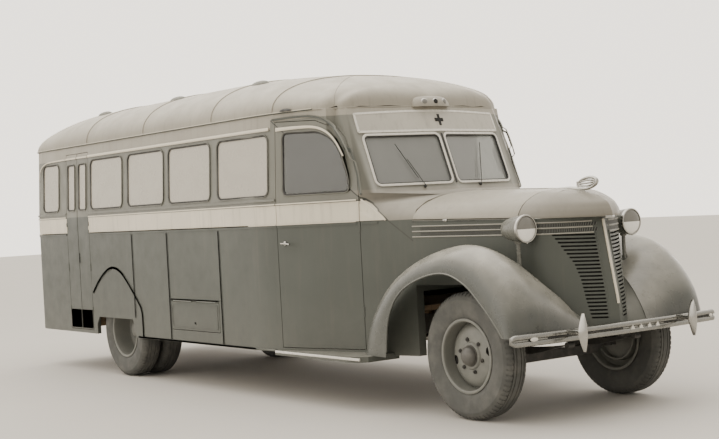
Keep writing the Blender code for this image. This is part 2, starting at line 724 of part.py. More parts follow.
def floor(mats):
    """Ward and cab floor, with boxes over the rear wheels and step wells at the doors."""
    inner = inset_plan(0.7, WALL + SEAT)
    bottom = FLOOR_TOP - FLOOR_THICK
    slab = prism("floor", inner, "Z", bottom, FLOOR_TOP)
    half_len, inner_y, top = WHEEL_BOX
    skin = 0.02
    for side in (-1, 1):
        edge = BODY_HALF - WALL - 2 * SEAT
        low, high = sorted((side * inner_y, side * edge))
        slab = join(slab, box("wheel_box", (REAR_X - half_len, low, bottom + 0.001), (REAR_X + half_len, high, top)))
        low, high = sorted((side * (inner_y + skin), side * 1.3))
        slab = cut(slab, box("wheel_room", (REAR_X - half_len + skin, low, 0.3), (REAR_X + half_len - skin, high, top - skin)))
    wells = [(fa(WARD_DOOR[0]), fa(WARD_DOOR[1]), -1.3, -0.80)]
    for side in (-1, 1):
        low, high = sorted((side * 0.60, side * 1.3))
        wells.append((fa(CAB_DOOR[0] + 0.03), fa(CAB_DOOR[1] - 0.02), low, high))
    limit = prism("limit", inset_plan(0.7, WALL + 2 * SEAT), "Z", 0.2, 1.5)
    for i, (x0, x1, y0, y1) in enumerate(wells):
        well = common(box("well", (x0 - 0.012, y0 - 0.012, 0.49), (x1 + 0.012, y1 + 0.012, FLOOR_TOP - 0.001)),
                      copy_of(limit, "limit"))
        slab = join(slab, well)
        slab = cut(slab, box("well_room", (x0, y0, 0.505), (x1, y1, 1.2)))
    bpy.data.objects.remove(limit, do_unlink=True)
    # timber bearers that rest on the frame's rails
    for side in (-1, 1):
        low, high = sorted((side * RAIL_OUTER_Y, side * (RAIL_OUTER_Y - RAIL_FLANGE)))
        slab = join(slab, box("bearer", (BODY_REAR_X + 0.25, low, RAIL_TOP + SEAT), (fa(-1.0), high, bottom + 0.001)))
    # the tool locker's tray behind its flap
    x0, x1 = fa(LOCKER[0]), fa(LOCKER[1])
    slab = join(slab, box("tray", (x0, -1.095, 0.515), (x1, -0.76, bottom + 0.001)))
    slab = cut(slab, box("tray_room", (x0 + 0.012, -1.2, 0.53), (x1 - 0.012, -0.772, bottom - 0.004)))
    # room at the cab doors' hinges for the leaves' inner edges as they swing
    x = fa(CAB_DOOR[1])
    for side in (-1, 1):
        low, high = sorted((side * 0.822, side * 1.3))
        slab = cut(slab, box("hinge_room", (x - 0.06, low, 0.4), (x + 0.008, high, 1.0)))
    finish(slab, "floor", mats["wood"])


FRAME_REAR = BODY_REAR_X + 0.25
FRAME_FRONT = fa(0.50)
CROSS_MEMBERS = (("rear", FRAME_REAR + 0.05), ("axle", REAR_X + 0.55), ("middle", fa(-2.5)), ("gearbox", fa(-1.60)),
                 ("front", fa(0.42)))
OUTRIGGERS = (-6.6, -4.2, -2.75)
OUTRIGGER_END_Y = 1.05


def chassis(mats):
    """Ladder frame: two side rails with the outriggers under the body, and the cross members between them."""
    for side, word in ((-1, "right"), (1, "left")):
        low, high = sorted((side * RAIL_OUTER_Y, side * (RAIL_OUTER_Y - RAIL_FLANGE)))
        rail = box("rail", (FRAME_REAR, low, RAIL_BOTTOM), (FRAME_FRONT, high, RAIL_TOP))
        low, high = sorted((side * (RAIL_OUTER_Y - 0.01), side * OUTRIGGER_END_Y))
        for x in OUTRIGGERS:
            rail = join(rail, box("outrigger", (fa(x) - 0.025, low, RAIL_TOP - 0.08), (fa(x) + 0.025, high, RAIL_TOP)))
        finish(rail, "frame_rail_" + word, mats["black"])
    reach = RAIL_OUTER_Y - RAIL_FLANGE - SEAT
    for word, x in CROSS_MEMBERS:
        member = box("member", (x - 0.04, -reach, RAIL_BOTTOM + 0.02), (x + 0.04, reach, RAIL_TOP - 0.02))
        finish(member, "cross_member_" + word, mats["black"])


EYE_RADIUS = 0.022
LEAF_THICK = 0.012
LEAF_COUNT = 5


def leaf_spring(name, x, length, y, clamp_top, mats):
    """A leaf spring hung by its two eyes under the rail, with its middle at the height of its clamp."""
    half = length / 2
    eye_z = RAIL_BOTTOM - SEAT - EYE_RADIUS
    ends_z = eye_z + LEAF_THICK / 2
    camber = ends_z - clamp_top
    top_side = []
    low_side = []
    for i in range(13):
        u = -1 + i / 6
        z = ends_z - camber * (1 - u * u)
        depth = LEAF_THICK * max(1, round(LEAF_COUNT * (1 - abs(u) ** 1.2)))
        top_side.append((x + u * half, z))
        low_side.append((x + u * half, z - depth))
    obj = prism(name, top_side + low_side[::-1], "Y", y - SPRING_WIDTH / 2, y + SPRING_WIDTH / 2)
    for side in (-1, 1):
        ends = [(x + side * half, y + across * SPRING_WIDTH / 2, eye_z) for across in (-1, 1)]
        obj = join(obj, rod("eye", ends[0], ends[1], EYE_RADIUS, 12))
    return finish(obj, name, mats["black"])


SPRING_WIDTH = 0.064
SPRING_Y = RAIL_OUTER_Y - RAIL_FLANGE / 2


def running_gear(mats):
    """Axles, springs, drive shaft and the engine's block."""
    # front axle: a dropped beam with a vertical eye at each end
    beam = prism("front_axle", [
        (-KINGPIN_Y, 0.50), (-KINGPIN_Y, 0.44), (-0.57, 0.44), (-0.46, 0.36), (0.46, 0.36), (0.57, 0.44),
        (KINGPIN_Y, 0.44), (KINGPIN_Y, 0.50),
        (0.54, 0.50), (0.44, BEAM_TOP), (-0.44, BEAM_TOP), (-0.54, 0.50)], "X", FRONT_X - 0.03, FRONT_X + 0.03)
    for side in (-1, 1):
        beam = join(beam, rod("eye", (FRONT_X, side * KINGPIN_Y, 0.43), (FRONT_X, side * KINGPIN_Y, 0.51), 0.036, 16))
    finish(beam, "front_axle", mats["black"])
    for side, word in ((-1, "right"), (1, "left")):
        stack = LEAF_THICK * LEAF_COUNT
        leaf_spring("front_spring_" + word, FRONT_X, 1.10, side * SPRING_Y, BEAM_TOP + SEAT + stack, mats)
        leaf_spring("rear_spring_" + word, REAR_X, 1.30, side * SPRING_Y, AXLE_Z - AXLE_RADIUS - SEAT, mats)
    # rear axle: tubes, pumpkin and nose
    axle = rod("rear_axle", (REAR_X, -0.90, AXLE_Z), (REAR_X, 0.90, AXLE_Z), AXLE_RADIUS, 16)
    profile = [(0.05, -0.20), (0.17, -0.08), (0.17, 0.08), (0.05, 0.20), (0.04, 0.20), (0.04, -0.20)]
    axle = join(axle, turned("banjo", profile, (REAR_X, 0, AXLE_Z), 20))
    axle = join(axle, rod("nose", (REAR_X + 0.05, 0, AXLE_Z), (REAR_X + 0.34, 0, AXLE_Z), 0.10, 16, 0.05))
    finish(axle, "rear_axle", mats["black"])
    shaft = rod("drive_shaft", (REAR_X + 0.34 + 3 * SEAT, 0, AXLE_Z), (fa(-1.45) - 3 * SEAT, 0, 0.515), 0.035, 12)
    finish(shaft, "drive_shaft", mats["black"])
    block = box("engine", (fa(-0.62), -0.22, 0.58), (fa(0.22), 0.22, 1.20))
    block = join(block, box("gearbox", (fa(-1.45), -0.13, 0.45), (fa(-0.60), 0.13, 0.745)))
    finish(block, "engine", mats["black"])


EYE_LOW = 0.43
EYE_HIGH = 0.51
SPINDLE_RADIUS = 0.025
SPINDLE_END = 0.80
HUB_FACE = 0.70
WHEEL_SIDES = 24


def wheels(mats):
    """Steering knuckles, front wheels and the twin rear wheels, each with its tyres."""
    for side, word in ((-1, "right"), (1, "left")):
        pin = (FRONT_X, side * KINGPIN_Y)
        knuckle = rod("knuckle", (*pin, EYE_HIGH + SEAT), (*pin, EYE_HIGH + 0.03), 0.036, 16)
        lower = rod("lower", (*pin, EYE_LOW - 0.03), (*pin, EYE_LOW - SEAT), 0.036, 16)
        plate_y = sorted((side * (KINGPIN_Y + 0.042), side * (KINGPIN_Y + 0.062)))
        plate = box("plate", (FRONT_X - 0.03, plate_y[0], EYE_LOW - 0.03), (FRONT_X + 0.03, plate_y[1], EYE_HIGH + 0.03))
        for z in (EYE_HIGH + 0.002, EYE_LOW - 0.028):
            ys = sorted((side * KINGPIN_Y, side * (KINGPIN_Y + 0.05)))
            plate = join(plate, box("arm", (FRONT_X - 0.028, ys[0], z), (FRONT_X + 0.028, ys[1], z + 0.026)))
        spindle = rod("spindle", (FRONT_X, side * (KINGPIN_Y + 0.05), AXLE_Z), (FRONT_X, side * SPINDLE_END, AXLE_Z),
                      SPINDLE_RADIUS, 16)
        knuckle = join(knuckle, plate, lower, spindle)
        finish(knuckle, "knuckle_" + word, mats["black"], (*pin, AXLE_Z))

        # wheel and drum: rim, dished disc, hub with its cap, bored for the spindle
        bore = (SPINDLE_RADIUS + SEAT) / math.cos(math.pi / WHEEL_SIDES)
        end = SPINDLE_END + SEAT
        y = FRONT_TYRE_Y
        front = [
            (0.0, end), (0.0, y + 0.105), (0.040, y + 0.10), (0.045, y + 0.06), (0.115, y + 0.05), (0.125, y + 0.03),
            (0.205, y + 0.015), (0.240, y - 0.015), *rim_profile(y, y)[0], *rim_profile(y, y)[1],
            (0.240, y - 0.03), (0.20, y - 0.005), (0.195, y - 0.07), (0.18, y - 0.07), (0.18, y - 0.03),
            (0.05, y - 0.03), (0.045, HUB_FACE), (bore, HUB_FACE), (bore, end),
        ]
        wheel = turned("wheel", front, (FRONT_X, 0, AXLE_Z), WHEEL_SIDES, side)
        finish(wheel, "front_wheel_" + word, mats["wheel"], (FRONT_X, side * y, AXLE_Z))
        tyre = turned("tyre", tyre_profile(y), (FRONT_X, 0, AXLE_Z), WHEEL_SIDES, side)
        finish(tyre, "front_tyre_" + word, mats["rubber"], (FRONT_X, side * y, AXLE_Z))

        outer, inner = REAR_OUTER_Y, REAR_INNER_Y
        middle = (outer + inner) / 2
        bore = (AXLE_RADIUS + SEAT) / math.cos(math.pi / WHEEL_SIDES)
        end = 0.90 + SEAT
        rear = [
            (0.0, end), (0.0, outer - 0.01), (0.075, outer - 0.015), (0.085, middle + 0.03), (0.125, middle + 0.02),
            (0.20, middle + 0.012), (0.24, middle + 0.035), *rim_profile(outer, inner)[0], *rim_profile(outer, inner)[1],
            (0.24, middle - 0.035), (0.19, middle - 0.012), (0.19, inner - 0.02), (0.18, inner - 0.02),
            (0.175, middle - 0.02), (0.08, middle - 0.02), (0.075, inner), (bore, inner), (bore, end),
        ]
        wheel = turned("wheel", rear, (REAR_X, 0, AXLE_Z), WHEEL_SIDES, side)
        finish(wheel, "rear_wheels_" + word, mats["wheel"], (REAR_X, side * middle, AXLE_Z))
        for place, y in (("outer", outer), ("inner", inner)):
            tyre = turned("tyre", tyre_profile(y), (REAR_X, 0, AXLE_Z), WHEEL_SIDES, side)
            finish(tyre, "rear_tyre_" + word + "_" + place, mats["rubber"], (REAR_X, side * middle, AXLE_Z))


def rim_profile(outer, inner):
    """The rim's section as (radius, y) points: its outer flange and seat, then its inner flange."""
    return (
        [(0.252, outer + 0.08), (0.258, outer + 0.092), (0.278, outer + 0.092), (0.278, outer + 0.085),
         (RIM_RADIUS, outer + 0.08)],
        [(RIM_RADIUS, inner - 0.08), (0.278, inner - 0.085), (0.278, inner - 0.092), (0.252, inner - 0.085)],
    )


def tyre_profile(y):
    """A tyre's section as (radius, y), seated on the rim."""
    seat = RIM_RADIUS + SEAT
    half = TYRE_WIDTH / 2
    right = [(seat, 0.078), (0.29, 0.082), (0.33, half - 0.004), (0.38, half), (0.44, half - 0.012),
             (TYRE_RADIUS, half - 0.042)]
    return [(r, y + a) for r, a in right] + [(r, y - a) for r, a in reversed(right)]


# front fender stations: crown x, crown z, opening edge x, opening edge z, inner edge |y|, drop of the inner edge
FENDER_STATIONS = (
    (-1.10, STEP_TOP - 0.02, -0.76, STEP_TOP - 0.02, 0.885, 0.0),
    (-1.00, 0.72, -0.71, 0.72, 0.850, 0.0),
    (-0.74, 1.02, -0.57, 0.92, 0.780, 0.03),
    (-0.40, 1.20, -0.32, 1.04, 0.675, 0.10),
    (0.00, 1.28, -0.03, 1.085, 0.555, 0.18),
    (0.30, 1.23, 0.20, 1.01, 0.460, 0.20),
    (0.52, 1.07, 0.36, 0.88, 0.400, 0.16),
    (0.66, 0.86, 0.48, 0.76, 0.350, 0.10),
    (0.69, 0.64, 0.58, 0.64, 0.330, 0.0),
)
FENDER_LIP_Y = 1.02
FENDER_CROWN_Y = 0.80
SHEET = 0.006


def fenders(mats):
    """Crowned front fenders: one sheet each, lofted round the wheel."""
    bm = bmesh.new()
    rows = []
    for cx, cz, lx, lz, inner, drop in FENDER_STATIONS:
        crown = max(FENDER_CROWN_Y, inner + 0.06)
        side = FENDER_LIP_Y - crown
        section = [(inner, 0.0, drop), ((inner + crown) / 2, 0.0, drop * 0.35), (crown, 0.0, 0.0),
                   (crown + 0.55 * side, 0.12, 0.0), (crown + 0.86 * side, 0.38, 0.0),
                   (crown + 0.98 * side, 0.68, 0.0), (FENDER_LIP_Y, 1.0, 0.0)]
        row = []
        for y, share, down in section:
            reach = math.hypot(cx, cz - AXLE_Z)
            px = cx + (lx - cx) * share - cx / reach * down * 0.5
            pz = cz + (lz - cz) * share - down
            row.append(bm.verts.new((fa(px), y, pz)))
        rows.append(row)
    for a, b in zip(rows, rows[1:]):
        for i in range(len(a) - 1):
            bm.faces.new((a[i], a[i + 1], b[i + 1], b[i]))
    bmesh.ops.recalc_face_normals(bm, faces=bm.faces)
    up = sum(f.normal.z for f in bm.faces)
    if up < 0:
        bmesh.ops.reverse_faces(bm, faces=bm.faces)
    left = mesh_object("fender", bm)
    wall = left.modifiers.new("wall", "SOLIDIFY")
    wall.thickness = SHEET
    wall.offset = -1.0
    wall.use_even_offset = False
    left = cut(evaluated(left), box("step_line", (fa(-1.3), 0.5, 0.2), (fa(-0.5), 1.3, STEP_TOP + SEAT)))
    triangles(left)
    right = mirrored(left, "fender")
    finish(left, "front_fender_left", mats["dark"])
    finish(right, "front_fender_right", mats["dark"])


HOOD_TOP_Z = 1.69
HOOD_REAR_X = -0.70
HOOD_NOSE_X = 0.20
HOOD_FALL = 0.035
HOOD_STRIP = 0.010
HOOD_EDGE_Z = 1.483
HOOD_EDGE_FALL = 0.026
HOOD_ROWS = (
    # z at the rear, fall forward per metre, prow x, half width share
    (0.61, 0.0, 0.733, 1.0), (0.84, 0.0, 0.713, 1.0), (1.15, 0.0, 0.655, 1.0), (1.44, 0.020, 0.603, 1.0),
    (1.465, HOOD_EDGE_FALL, 0.60, 1.0), (1.475, HOOD_EDGE_FALL, 0.70, 1.0), (1.505, HOOD_FALL, 0.705, 0.985),
    (1.55, HOOD_FALL, 0.69, 0.93), (1.60, HOOD_FALL, 0.65, 0.82), (1.65, HOOD_FALL, 0.54, 0.61),
    (1.675, HOOD_FALL, 0.40, 0.40), (1.69, HOOD_FALL, 0.28, 0.0),
)
NOSE_TURN_X = 0.34

# Grille: rows of slots on both sides of the prow, a bead down its middle and three ribs along the sides
SLOT_COUNT = 23
SLOT_TOP_Z = 1.316
SLOT_PITCH = 0.0271
SLOT_HEIGHT = 0.013
SLOT_FALL = 0.06
SLOT_INNER_Y = 0.078
SLOT_OUTER_Y = ((0.70, 0.180), (0.85, 0.204), (1.00, 0.218), (1.11, 0.243), (1.20, 0.290), (1.32, 0.352))
BEAD_HALF = 0.010
BEAD_OUT = 0.012
BEAD_Z = (0.80, 1.425)
RIB_HEIGHTS = (1.346, 1.388, 1.428)
RIB_FALL = 0.014
RIB_HALF = 0.005
RIB_OUT = 0.005
RIB_REAR_X = -0.685
RIB_END_Y = 0.080


def hood_plan(prow, share):
    """Plan points of the bonnet's left half, from the cowl seam round to the prow."""
    points = []
    for x in (-0.72, -0.45, -0.20, 0.02, 0.20, NOSE_TURN_X):
        points.append((min(x, prow - 0.02 * (1 + x)), side_y(fa(x)) * share))
    shoulder = side_y(fa(NOSE_TURN_X))
    for turn in (0.80, 0.52, 0.25, 0.0):
        reach = (1 - turn) ** 0.75
        x = NOSE_TURN_X + (prow - NOSE_TURN_X) * reach if prow > NOSE_TURN_X + 0.02 else prow
        points.append((x, shoulder * turn ** 0.8 * share))
    return points


def hood_rows():
    """Rows of the bonnet and nose from the bottom edge to the ridge, each from the cowl seam to the prow."""
    return [[(fa(x), y, z - fall * (x - HOOD_REAR_X)) for x, y in hood_plan(prow, share)]
            for z, fall, prow, share in HOOD_ROWS]


def along_table(table, place):
    """The value at a place in a table of (place, value) pairs, on straight lines between them."""
    for (a, low), (b, high) in zip(table, table[1:]):
        if place <= b:
            return low + (high - low) * max(0.0, place - a) / (b - a)
    return table[-1][1]


def nose_prow(z):
    """How far forward the prow is at a height under the bonnet's edge."""
    return along_table([(row[0], row[2]) for row in HOOD_ROWS[:5]], z)


def above_edge(name, x0, x1, drop, low, high):
    """Everything over the bonnet leaf's lower edge between two stations, from drop under it."""
    edge = [(x, HOOD_EDGE_Z - HOOD_EDGE_FALL * (x - SEAM_X) - drop) for x in (x0, x1)]
    return prism(name, edge + [(x1, 3.0), (x0, 3.0)], "Y", low, high)


def grille_slots():
    """Cutters for the rows of slots, mirrored on the two sides of the prow."""
    cutters = []
    for row in range(SLOT_COUNT):
        z = SLOT_TOP_Z - SLOT_PITCH * row
        corners = [(x, z - SLOT_FALL * (x - 0.5) + up) for up in (-SLOT_HEIGHT / 2, SLOT_HEIGHT / 2) for x in (0.28, 0.86)]
        outline = [(fa(x), height) for x, height in (corners[0], corners[1], corners[3], corners[2])]
        outer = along_table(SLOT_OUTER_Y, z)
        cutters.append(prism("slot", outline, "Y", SLOT_INNER_Y, outer))
        cutters.append(prism("slot", outline, "Y", -outer, -SLOT_INNER_Y))
    return bundle("slots", cutters)


def side_rib(z):
    """One raised rib from the cowl seam round to the grille's middle panel, on the left side."""
    plan = [p for p in hood_plan(nose_prow(z), 1.0) if p[0] > RIB_REAR_X and p[1] > RIB_END_Y]
    before, after = hood_plan(nose_prow(z), 1.0)[-2:]
    share = (before[1] - RIB_END_Y) / (before[1] - after[1])
    plan.append((before[0] + (after[0] - before[0]) * share, RIB_END_Y))
    plan.insert(0, (RIB_REAR_X, side_y(fa(RIB_REAR_X))))
    rings = []
    for i, (x, y) in enumerate(plan):
        back, ahead = plan[max(i - 1, 0)], plan[min(i + 1, len(plan) - 1)]
        across = Vector((back[1] - ahead[1], ahead[0] - back[0])).normalized()
        level = z - RIB_FALL * (x - HOOD_REAR_X)
        rings.append([(fa(x + across.x * out), y + across.y * out, level + up)
                      for out, up in ((-SHEET / 2, -RIB_HALF), (RIB_OUT, -RIB_HALF), (RIB_OUT, RIB_HALF),
                                      (-SHEET / 2, RIB_HALF))])
    return loft("rib", rings)


def front_sheet(mats):
    """Bonnet leaves, bonnet sides with their ribs, and nose with the grille's slots and bead."""
    shell = half_grid_shell("front_sheet", hood_rows(), SHEET)
    shell = cut(shell, box("behind", (fa(-1.0), -2, 0), (SEAM_X + SEAT, 2, 3)))
    seam = fa(HOOD_NOSE_X)
    ways = [above_edge("hood_way", fa(-0.8), seam + SHUT, SHUT, low, high)
            for low, high in ((-2.0, -HOOD_STRIP), (HOOD_STRIP, 2.0))]
    rest = cut(copy_of(shell, "rest"), *ways)
    rest = cut(rest, grille_slots())
    prow = [(nose_prow(z), z) for z in (BEAD_Z[0], 0.84, 1.15, BEAD_Z[1])]
    bead = [(fa(x + BEAD_OUT), z) for x, z in prow] + [(fa(x - SHEET / 2), z) for x, z in reversed(prow)]
    rest = join(rest, prism("bead", bead, "Y", -BEAD_HALF, BEAD_HALF))
    for z in RIB_HEIGHTS:
        rib = side_rib(z)
        rest = join(rest, mirrored(rib, "rib"))
        rest = join(rest, rib)
    rest = cut(rest, box("under", (fa(-0.8), -2, 0.3), (fa(0.52), 2, 0.97)))
    along = Vector((1.0, 0.0, -HOOD_FALL))
    for side, word in ((-1, "right"), (1, "left")):
        low, high = sorted((side * (HOOD_STRIP + SHUT), side * 2.0))
        leaf = common(copy_of(shell, "leaf"), above_edge("leaf_box", SEAM_X + 0.005, seam, 0.0, low, high))
        start = Vector((SEAM_X, side * (HOOD_STRIP + SHUT / 2), HOOD_TOP_Z - 0.0025))
        rest, leaf = hinge(rest, leaf, start, along, ((0.10, 0.20), (0.70, 0.80)), 0.005)
        finish(leaf, "hood_leaf_" + word, mats["light"], start + along * 0.45)
    bpy.data.objects.remove(shell, do_unlink=True)
    finish(rest, "nose", mats["dark"])


BUMPER_FACE_X = 0.79
BUMPER_HALF = 1.055
BUMPER_BOW = 0.057
BUMPER_SECTION = ((-0.045, 0.592), (-0.012, 0.585), (0.0, 0.598), (0.0, 0.618), (-0.012, 0.625), (-0.012, 0.634),
                  (0.0, 0.641), (0.0, 0.658), (-0.012, 0.672), (-0.045, 0.665))
OVERRIDER_Y = 0.571
OVERRIDER_Z = (0.523, 0.787)


def bumper(mats):
    """Bowed grooved bar, two pointed overriders and the brackets to the frame, as one piece."""
    rings = []
    for y, shrink in ((-1.055, 0.8), (-1.04, 1.0), (-0.80, 1.0), (-0.40, 1.0), (0.0, 1.0), (0.40, 1.0), (0.80, 1.0),
                      (1.04, 1.0), (1.055, 0.8)):
        face = fa(BUMPER_FACE_X - BUMPER_BOW * (y / BUMPER_HALF) ** 2)
        rings.append([(face + dx, y, 0.63 + (z - 0.63) * shrink) for dx, z in BUMPER_SECTION])
    bar = loft("bumper", rings)
    low, high = OVERRIDER_Z
    middle = (low + high) / 2
    back = fa(BUMPER_FACE_X) - 0.035
    for side in (-1, 1):
        rings = []
        for z, swell in ((low, 0.08), (low + 0.03, 0.40), (middle - 0.05, 0.82), (middle, 1.0), (middle + 0.05, 0.82),
                         (high - 0.03, 0.40), (high, 0.08)):
            reach = (TIP_X - back - 0.04) * swell
            half = 0.036 * swell
            y = side * OVERRIDER_Y
            tip = back + 0.04 + reach
            rings.append([(back, y - half, z), (back + 0.04 + reach * 0.45, y - half, z), (tip - reach * 0.15, y - half * 0.55, z),
                          (tip, y, z), (tip - reach * 0.15, y + half * 0.55, z), (back + 0.04 + reach * 0.45, y + half, z),
                          (back, y + half, z)])
        bar = join(bar, loft("overrider", rings))
        ys = sorted((side * (RAIL_OUTER_Y - 0.015), side * (RAIL_OUTER_Y - RAIL_FLANGE + 0.015)))
        bar = join(bar, box("bracket", (fa(0.50) + SEAT, ys[0], 0.588), (fa(0.75), ys[1], 0.630)))
    finish(bar, "bumper", mats["chrome"])


HEADLAMP = (0.379, 0.553, 1.378)
LAMP_SIDES = 20
FOOT_RADIUS = 0.024


def headlamps(mats):
    """Bulbous lamp shells on stalks that stand on the fenders."""
    x, y, z = HEADLAMP
    profile = [(0.0, -0.235), (0.045, -0.225), (0.078, -0.17), (0.096, -0.09), (0.100, -0.02), (0.104, -0.018),
               (0.104, 0.0), (0.094, 0.008), (0.05, 0.017), (0.0, 0.020)]
    for side, word in ((-1, "right"), (1, "left")):
        lamp = turned("lamp", profile, (0, 0, 0), LAMP_SIDES)
        lamp.data.transform(Matrix.Rotation(math.radians(-90), 4, "Z"))
        lamp.data.transform(Matrix.Translation((fa(x), side * y, z)))
        fender = bpy.data.objects["front_fender_" + word]
        bm = bmesh.new()
        bm.from_mesh(fender.data)
        tree = BVHTree.FromBMesh(bm)
        bm.free()
        foot_at, normal, _, _ = tree.ray_cast(Vector((fa(x - 0.09), side * y, z)), Vector((0, 0, -1)))
        stalk_top = Vector((fa(x - 0.09), side * y, z - 0.05))
        # the foot rests on the highest point of the sheet under it
        across = normal.orthogonal().normalized()
        lift = 0.0
        for step in range(96):
            reach = FOOT_RADIUS * 1.05 * (step % 4 + 1) / 4
            spot = foot_at + Matrix.Rotation(math.tau * step / 96, 3, normal) @ across * reach
            hit = tree.ray_cast(spot + normal * 0.05, -normal)[0]
            lift = max(lift, (hit - foot_at).dot(normal))
        foot = foot_at + normal * (lift + SEAT)
        lamp = join(lamp, rod("stalk", foot + normal * 0.013, stalk_top, 0.015, 12))
        lamp = join(lamp, rod("foot", foot, foot + normal * 0.015, FOOT_RADIUS, 12))
        finish(lamp, "headlamp_" + word, mats["chrome"])


def steps(mats):
    """Wedge-shaped steps between the tapering cab sides and the line of the body."""
    places = (-2.14, -2.10, -1.80, -1.50, -1.20, -1.05, -0.93)
    for side, word in ((-1, "right"), (1, "left")):
        inner = [(fa(x), side * (outline_half(fa(x), BODY_BOTTOM) - WALL)) for x in places]
        outer = [(fa(-0.93), side * 1.06), (fa(-1.00), side * 1.12), (fa(-1.10), side * STEP_OUTER_Y),
                 (fa(-2.14), side * STEP_OUTER_Y)]
        plate = prism("step", inner + outer, "Z", STEP_TOP - STEP_THICK, BODY_BOTTOM - SEAT)
        wedge_in = [(fa(x), side * (outline_half(fa(x), BODY_BOTTOM) + SEAT)) for x in places[1:]]
        wedge = prism("tread", wedge_in + outer[:-1] + [(fa(-2.10), side * STEP_OUTER_Y)], "Z", BODY_BOTTOM - 0.004, STEP_TOP)
        finish(join(plate, wedge), "step_" + word, mats["dark"])


def windscreens(mats):
    """One flat pane each side of the centre post, let into the openings of the cab shell."""
    for side, word in ((-1, "right"), (1, "left")):
        rings = []
        for z in (1.70, 2.25):
            back = SCREEN_RAKE * (z - SCREEN_BASE_Z)
            rings.append([(fa(x) - back - inset, side * y, z) for x, y, inset in (
                (-0.985, 0.0, 0.018), (-1.125, 0.75, 0.018), (-1.125, 0.75, 0.024), (-0.985, 0.0, 0.024))])
        slab = loft("pane", rings)
        low, high = sorted((side * (0.035 + SEAT), side * (0.715 - SEAT)))
        pane = common(slab, box("opening", (fa(-1.6), low, 1.775 + SEAT), (fa(-0.9), high, 2.175 - SEAT)))
        finish(pane, "windscreen_" + word, mats["glass"])


BULKHEAD_X = -2.15
WHEEL_AT = (-1.42, 0.40, 1.44)
COLUMN_FOOT = (-0.98, 0.40, 0.805)


def cab_inside(mats):
    """Bulkhead, seats, instrument panel with the column, and the steering wheel."""
    x = fa(BULKHEAD_X)
    room = WALL + 0.002
    top = DRIP_Z - 0.02
    half = drip_half(x) / DRIP_SHARE
    outline = [(-half + room, FLOOR_TOP + SEAT), (half - room, FLOOR_TOP + SEAT), (half - room, BELT_Z),
               (half * wall_share(top) - room, top), (-half * wall_share(top) + room, top), (-half + room, BELT_Z)]
    wall = prism("bulkhead", outline, "X", x - 0.012, x + 0.012)
    wall = cut(wall, box("way_through", (x - 1, -0.30, FLOOR_TOP - 0.1), (x + 1, 0.30, 2.15)))
    finish(wall, "bulkhead", mats["light"])

    base = FLOOR_TOP + SEAT
    seat = [(-1.98, base), (-1.60, base), (-1.60, 1.00), (-1.52, 1.03), (-1.51, 1.11), (-1.56, 1.14), (-1.94, 1.11),
            (-2.00, 1.58), (-2.05, 1.62), (-2.11, 1.60), (-2.06, 1.05), (-1.98, 1.00)]
    for side, word in ((-1, "attendant"), (1, "driver")):
        low, high = sorted((side * 0.12, side * 0.56))
        finish(prism("seat", [(fa(a), z) for a, z in seat], "Y", low, high), word + "_seat", mats["leather"])

    hub = Vector((fa(WHEEL_AT[0]), *WHEEL_AT[1:]))
    foot = Vector((fa(COLUMN_FOOT[0]), *COLUMN_FOOT[1:]))
    down = (foot - hub).normalized()
    panel = box("dashboard", (fa(-1.04), -0.72, 1.27), (fa(-1.015), 0.72, 1.47))
    panel = join(panel, box("shelf", (fa(-1.02), -0.55, 1.36), (SEAM_X - WALL - SEAT, 0.55, 1.385)))
    panel = join(panel, box("bracket", (fa(-1.33), 0.385, 1.275), (fa(-1.03), 0.415, 1.30)))
    column = rod("column", hub + down * (0.03 + SEAT), foot + down * 0.05, 0.022, 12)
    column = cut(column, box("below", (-9, -9, 0), (9, 9, FLOOR_TOP + SEAT)))
    finish(join(panel, column), "dashboard", mats["black"])

    rim = bmesh.new()
    loops = []
    for i in range(20):
        angle = math.tau * i / 20
        ring = []
        for j in range(6):
            turn = math.tau * j / 6
            radius = 0.215 + 0.012 * math.cos(turn)
            ring.append(rim.verts.new((radius * math.cos(angle), radius * math.sin(angle), 0.012 * math.sin(turn))))
        loops.append(ring)
    for a, b in zip(loops, loops[1:] + loops[:1]):
        for j in range(6):
            k = (j + 1) % 6
            rim.faces.new((a[j], b[j], b[k], a[k]))
    face_outwards(rim)
    wheel = rod("boss", (0, 0, -0.022), (0, 0, 0.03), 0.030, 12)
    for turn in (93, 213, 333):
        arm = box("arm", (0.011, -0.009, -0.0035), (0.2145, 0.009, 0.0041))
        arm.data.transform(Matrix.Rotation(math.radians(turn), 4, "Z"))
        wheel = join(wheel, arm)
    wheel = join(wheel, mesh_object("rim", rim))
    place = Matrix.Translation(hub) @ down.to_track_quat("Z", "Y").to_matrix().to_4x4()
    wheel.data.transform(place)
    finish(wheel, "steering_wheel", mats["black"], hub)


def underneath(mats):
    """Fuel tank beside the left rail, and the exhaust with its silencer under the cross members."""
    left = RAIL_OUTER_Y + SEAT
    tank = prism("fuel_tank", rounded(left, 0.90, 0.45, 0.69, 0.05, 3), "X", fa(-3.95), fa(-3.10))
    finish(tank, "fuel_tank", mats["black"])
    path = [(-0.40, -0.18, 0.58 - SEAT), (-0.40, -0.18, 0.52), (-0.48, -0.19, 0.49), (-1.70, -0.22, 0.49),
            (-2.20, -0.22, 0.505)]
    front = pipe("exhaust", [(fa(x), y, z) for x, y, z in path], 0.024)
    tail_path = [(-2.70, -0.22, 0.50), (-2.95, -0.26, 0.47), (-3.10, -0.36, 0.465), (-4.10, -0.62, 0.465),
                 (-4.30, -0.72, 0.46), (-4.42, -0.95, 0.45)]
    tail = pipe("tail", [(fa(x), y, z) for x, y, z in tail_path], 0.024)
    radius = 0.064
    height = RAIL_BOTTOM + 0.02 - SEAT - radius
    silencer = rod("silencer", (fa(-2.78), -0.22, height), (fa(-2.18), -0.22, height), radius, 16)
    finish(join(silencer, front, tail), "exhaust", mats["black"])


